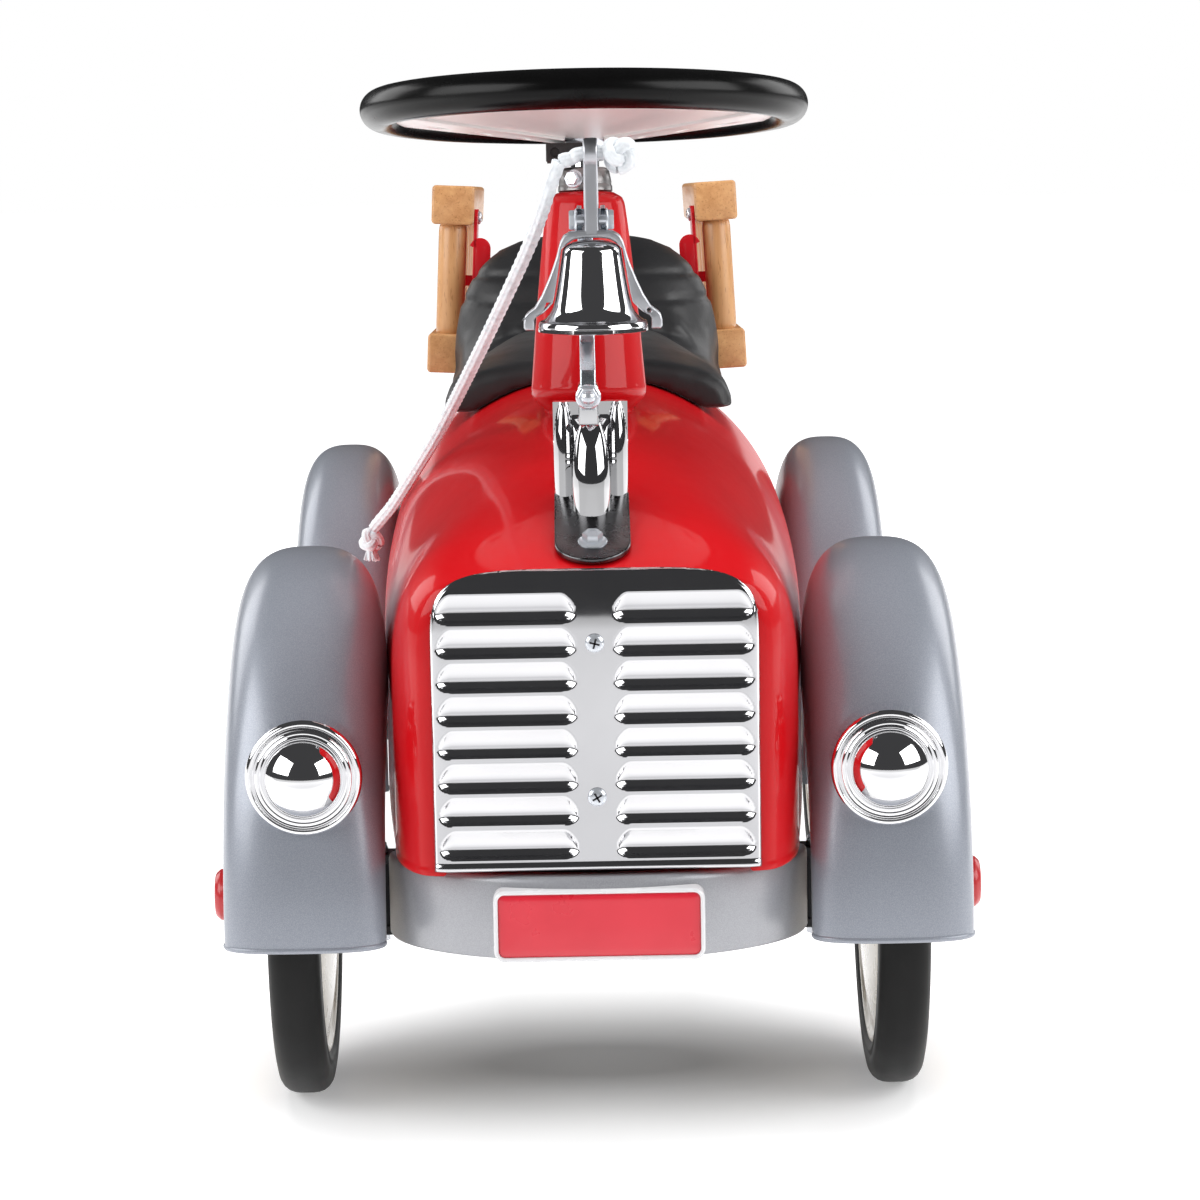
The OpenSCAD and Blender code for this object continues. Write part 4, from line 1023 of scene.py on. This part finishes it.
def inflated(part, voxel, pressure, cap):
    """A closed pad blown up by a cloth solve: its underside is held, and the cap limits every point's move."""
    scene = bpy.context.scene
    mesh = bpy.data.meshes.new("pad_start")
    mesh.from_pydata([tuple(c * MM for c in v) for v in part[0]], [], part[1])
    holder = linked("pad_start", mesh)
    cells = holder.modifiers.new("cells", "REMESH")
    cells.mode = "VOXEL"
    cells.voxel_size = voxel * MM
    even = solved(holder)
    holder.modifiers.clear()
    holder.data = even
    held = holder.vertex_groups.new(name="held")
    held.add([v.index for v in even.vertices if v.normal.z < -0.1], 1.0, "REPLACE")
    start = [v.co.copy() for v in even.vertices]
    cloth = holder.modifiers.new("cloth", "CLOTH")
    cloth.settings.quality = 6
    cloth.settings.use_pressure = True
    cloth.settings.uniform_pressure_force = pressure
    cloth.settings.effector_weights.gravity = 0
    cloth.settings.vertex_group_mass = "held"
    cloth.point_cache.frame_end = 20
    for step in range(1, 21):
        scene.frame_set(step)
    swollen = [v.co.copy() for v in solved(holder).vertices]
    holder.modifiers.clear()
    for v, a, b in zip(even.vertices, start, swollen):
        move = b - a
        v.co = a + move * min(1, cap * MM / max(move.length, 1e-9))
    scene.frame_set(1)
    finer = holder.modifiers.new("finer", "SUBSURF")
    finer.levels = 1
    smooth = solved(holder)
    made = [tuple(c / MM for c in v.co) for v in smooth.vertices], [tuple(f.vertices) for f in smooth.polygons]
    bpy.data.objects.remove(holder)
    return made


def sewn(part, heights, depth, width):
    """Rows of stitching pressed into the front of the backrest at the given heights."""
    verts = []
    for x, y, z in part[0]:
        dip = sum(depth * exp(-((z - h) / width) ** 2) for h in heights) if y > 85 and z > 335 else 0
        verts.append((x * (1 - dip / 75), y + dip * 0.6, z - dip * 0.8))
    return verts, part[1]


def build_seat():
    count = 70
    spots = [(SEAT_FRONT, 4.5), (SEAT_FRONT + 0.5, 2.8), (SEAT_FRONT + 1.6, 1.3), (SEAT_FRONT + 3.2, 0.4)]
    spots += [(SEAT_FRONT + 5 + (SEAT_BACK - SEAT_FRONT - 10) * k / count, 0) for k in range(count + 1)]
    spots += [(SEAT_BACK - 3.2, 0.4), (SEAT_BACK - 1.6, 1.3), (SEAT_BACK - 0.5, 2.8), (SEAT_BACK, 4.5)]
    slack = capped([seat_ring(y, inset - 0.6) for y, inset in spots])
    tight = sewn(inflated(slack, 4, 4, 5), (352, 366), 0.9, 2.0)
    pad = make("saddle_pad", tight, "car_body", (LEATHER, "seat_leather"), ["seat"], sharp=180)


# ---- Ladders ----


def on_ladder(side):
    tilted = turned("X", -LADDER_PITCH, *LADDER_AT) @ turned("Y", -LADDER_ROLL)
    return Matrix.Diagonal((SIDES[side], 1, 1, 1)) @ tilted


def build_ladder(side):
    m = on_ladder(side)
    rails = []
    for z in (0, -RAIL_DROP):
        rows = []
        for y, inset in ((0, 1.3), (0.3, 0.6), (0.8, 0.2), (1.5, 0), (80, 0), (160, 0), (LADDER_L - 1.5, 0),
                (LADDER_L - 0.8, 0.2), (LADDER_L - 0.3, 0.6), (LADDER_L, 1.3)):
            outline = rounded_rectangle(RAIL_W - 2 * inset, RAIL_H - 2 * inset, max(1.0, 2.2 - inset), 6)
            rows.append([(x, y, z + dz) for x, dz in outline])
        rails.append(capped(rows))
    make(f"rail_pair_{side}", placed(join(*rails), m), "car_body", (WOOD_LONG, "beech_wood"),
        [f"ladder_rails_{side}"])
    rungs = []
    low, high = -RAIL_DROP + RAIL_H / 2, -RAIL_H / 2
    for i in range(5):
        profile = [(7.2, low), (7.7, low + 1.2), (8, low + 4), (8, (low + high) / 2), (8, high - 4),
            (7.7, high - 1.2), (7.2, high)]
        rungs.append(shifted(lathe(profile, 40), 0, 14 + 52 * i, 0))
    make(f"rung_set_{side}", placed(join(*rungs), m), "car_body", (WOOD_UP, "beech_wood"),
        [f"ladder_rungs_{side}"])
    x = -RAIL_W / 2 - 2
    sheet = placed(plate([[(8, -110), (40, -110), (42, -108), (42, -6), (38, -2), (10, -2), (6, -6),
        (6, -108)]], 2, 0.5), Matrix.Translation((x + 1, 0, 0)) @ ACROSS_X)
    ear_top = [(x - 2 + 6 * cos(t), -24 + 6 * sin(t)) for t in sweep(0, 180, 15)]
    ear = plate([[(x + 0.5, -108), (x + 0.5, -24)] + ear_top[1:] + [(x - 8, -30), (x - 8, -104.5)]], 2, 0.5)
    ear = placed(ear, turned("X", 90, 0, 7, 0))
    stay = block(-6, -2, 34, 44, low, high)
    tab = block(x + 1, x + 9, 34, 38, -46, -40)
    make(f"ladder_plate_{side}", placed(join(sheet, ear, stay, tab), m), "car_body",
        (BRACKET_RED, "red_bracket_paint"), [f"ladder_bracket_{side}"])


def build_ladder_screws():
    heads, recess_shades = [], []
    for side in SIDES:
        for z in (-7, -RAIL_DROP):
            dome, cross = pan_screw(3.8, 2.1)
            m = on_ladder(side) @ turned("Y", -90, -RAIL_W / 2 - 2, 26, z)
            heads.append(placed(dome, m))
            recess_shades.append(placed(cross, m))
    make("ladder_screw_heads", join(*heads), "car_body", (ZINC, "screw_steel"), ["ladder_screws"])
    # Painted shade: the cross recesses of these screws are thin crosses in dark paint.
    make("ladder_screw_recess_shade", join(*recess_shades), "car_body", (BLACK_STEEL, "dark_steel"))


build_rope()
build_body()
build_grille()
build_bumper()
for end_name in ("front", "rear"):
    for side_name in SIDES:
        build_fender(end_name, side_name)
        build_wheel(end_name, side_name)
for side_name in SIDES:
    build_headlight(side_name)
    build_ladder(side_name)
build_ladder_screws()
build_cover()
build_column()
build_spokes()
build_bell()
build_hanger()
build_stand()
build_seat()

for node_name in ("floor_pan", "chassis", "front_axle", "rear_axle", "kingpins", "knuckle_left",
        "knuckle_right", "tie_bar"):
    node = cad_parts[node_name]
    node.data.materials.clear()
    node.data.materials.append(ZINC if node_name == "kingpins" else BLACK_STEEL)

# ---- Studio ----


def area_light(name, place, target, size_x, size_y, power, glossy=True):
    light = bpy.data.lights.new(name, "AREA")
    light.shape = "RECTANGLE"
    light.size, light.size_y, light.energy = size_x, size_y, power
    holder = linked(name, light)
    holder.location = place
    holder.rotation_euler = (Vector(target) - Vector(place)).to_track_quat("-Z", "Y").to_euler()
    holder.visible_camera = False
    holder.visible_glossy = glossy


def floor_tone(s):
    """The floor's glow and colour, with painted light and shade: the glow is cut into a painted shadow at the
    front wheels, raised as painted light under the car and far off, and glow and colour turn grey ahead as
    painted shade.
    """
    spot = s.node("ShaderNodeSeparateXYZ", Vector=s.place())
    away = s.node("ShaderNodeVectorMath", operation="LENGTH")
    s.wire(s.place(), away)

    def spread(value, *span):
        made = s.node("ShaderNodeMapRange", Value=value)
        for key, amount in zip(("From Min", "From Max", "To Min", "To Max"), span):
            made.inputs[key].default_value = amount
        return made.outputs["Result"]

    glow = s.node("ShaderNodeMath", operation="MULTIPLY")
    # Painted shadow: an ellipse about the front wheels in which the glow falls almost to nothing.
    near = s.node("ShaderNodeVectorMath", operation="MULTIPLY")
    near.inputs[1].default_value = (1 / 0.26, 1 / 0.13, 0)
    behind = s.node("ShaderNodeVectorMath", operation="ADD")
    behind.inputs[1].default_value = (0, 0.21, 0)
    s.wire(s.place(), behind)
    s.wire(behind.outputs["Vector"], near)
    reach = s.node("ShaderNodeVectorMath", operation="LENGTH")
    s.wire(near.outputs["Vector"], reach)
    under = s.node("ShaderNodeMath", operation="MULTIPLY")
    s.wire(spread(reach.outputs["Value"], 0.2, 1.3, 0.04, 1.0), under)
    # Painted light: the glow is raised under the middle of the car and far off.
    lit = s.node("ShaderNodeMath", operation="MAXIMUM")
    s.wire(spread(away.outputs["Value"], 0.6, 1.5, 0.42, 1.05), lit)
    s.wire(spread(away.outputs["Value"], 0.2, 0.5, 0.85, 0.42), lit, 1)
    s.wire(lit.outputs["Value"], under, 1)
    s.wire(under.outputs["Value"], glow)
    # Painted shade: the glow is weaker ahead of the car.
    s.wire(spread(spot.outputs["Y"], -0.85, -0.5, 0.6, 1.0), glow, 1)
    # Painted shade: the floor's colour turns grey ahead of the car.
    shade = s.ramp(spread(spot.outputs["Y"], -0.85, -0.5, 0, 1), (0, (0.42, 0.42, 0.43)),
        (1, (0.82, 0.82, 0.82)))
    return glow.outputs["Value"], shade


def build_studio():
    scene = bpy.context.scene
    scene.view_settings.view_transform = "Standard"
    world = bpy.data.worlds.new("studio")
    scene.world = world
    world.use_nodes = True
    tree = world.node_tree
    background = tree.nodes["Background"]
    seen = tree.nodes.new("ShaderNodeLightPath")
    mix = tree.nodes.new("ShaderNodeMix")
    mix.data_type = "RGBA"
    mix.inputs[6].default_value = (0.05, 0.05, 0.052, 1)
    mix.inputs[7].default_value = (1, 1, 1, 1)
    tree.links.new(seen.outputs["Is Camera Ray"], mix.inputs[0])
    tree.links.new(mix.outputs[2], background.inputs["Color"])
    disc = bpy.data.meshes.new("floor")
    verts, faces = lathe([(0.01, 0), (200, 0), (1200, 0), (9000, 0)], 96)
    disc.from_pydata([tuple(c * MM for c in v) for v in verts], [], faces[:-2])
    floor = linked("floor", disc)
    s = Shader("pale_floor", roughness=0.85, specular_ior_level=0.1)
    # The floor's glow holds a painted shadow and painted light, and its colour holds painted shade.
    glow, shade = floor_tone(s)
    s.link(shade, "Base Color")
    s.bsdf.inputs["Emission Color"].default_value = (1, 1, 1, 1)
    s.link(glow, "Emission Strength")
    disc.materials.append(s.material)
    for side in SIDES:
        area_light(f"{side}_box", (SIDES[side] * 1.5, -1.05, 1.02), (0, -0.34, 0.28), 1.6, 1.15, 24)
        area_light(f"{side}_rear_box", (SIDES[side] * 1.7, 1.1, 1.1), (0, 0.1, 0.2), 1.2, 1.2, 12)
    area_light("top_box", (0, 0.0, 2.3), (0, 0, 0), 2.2, 1.8, 44, glossy=False)


build_studio()
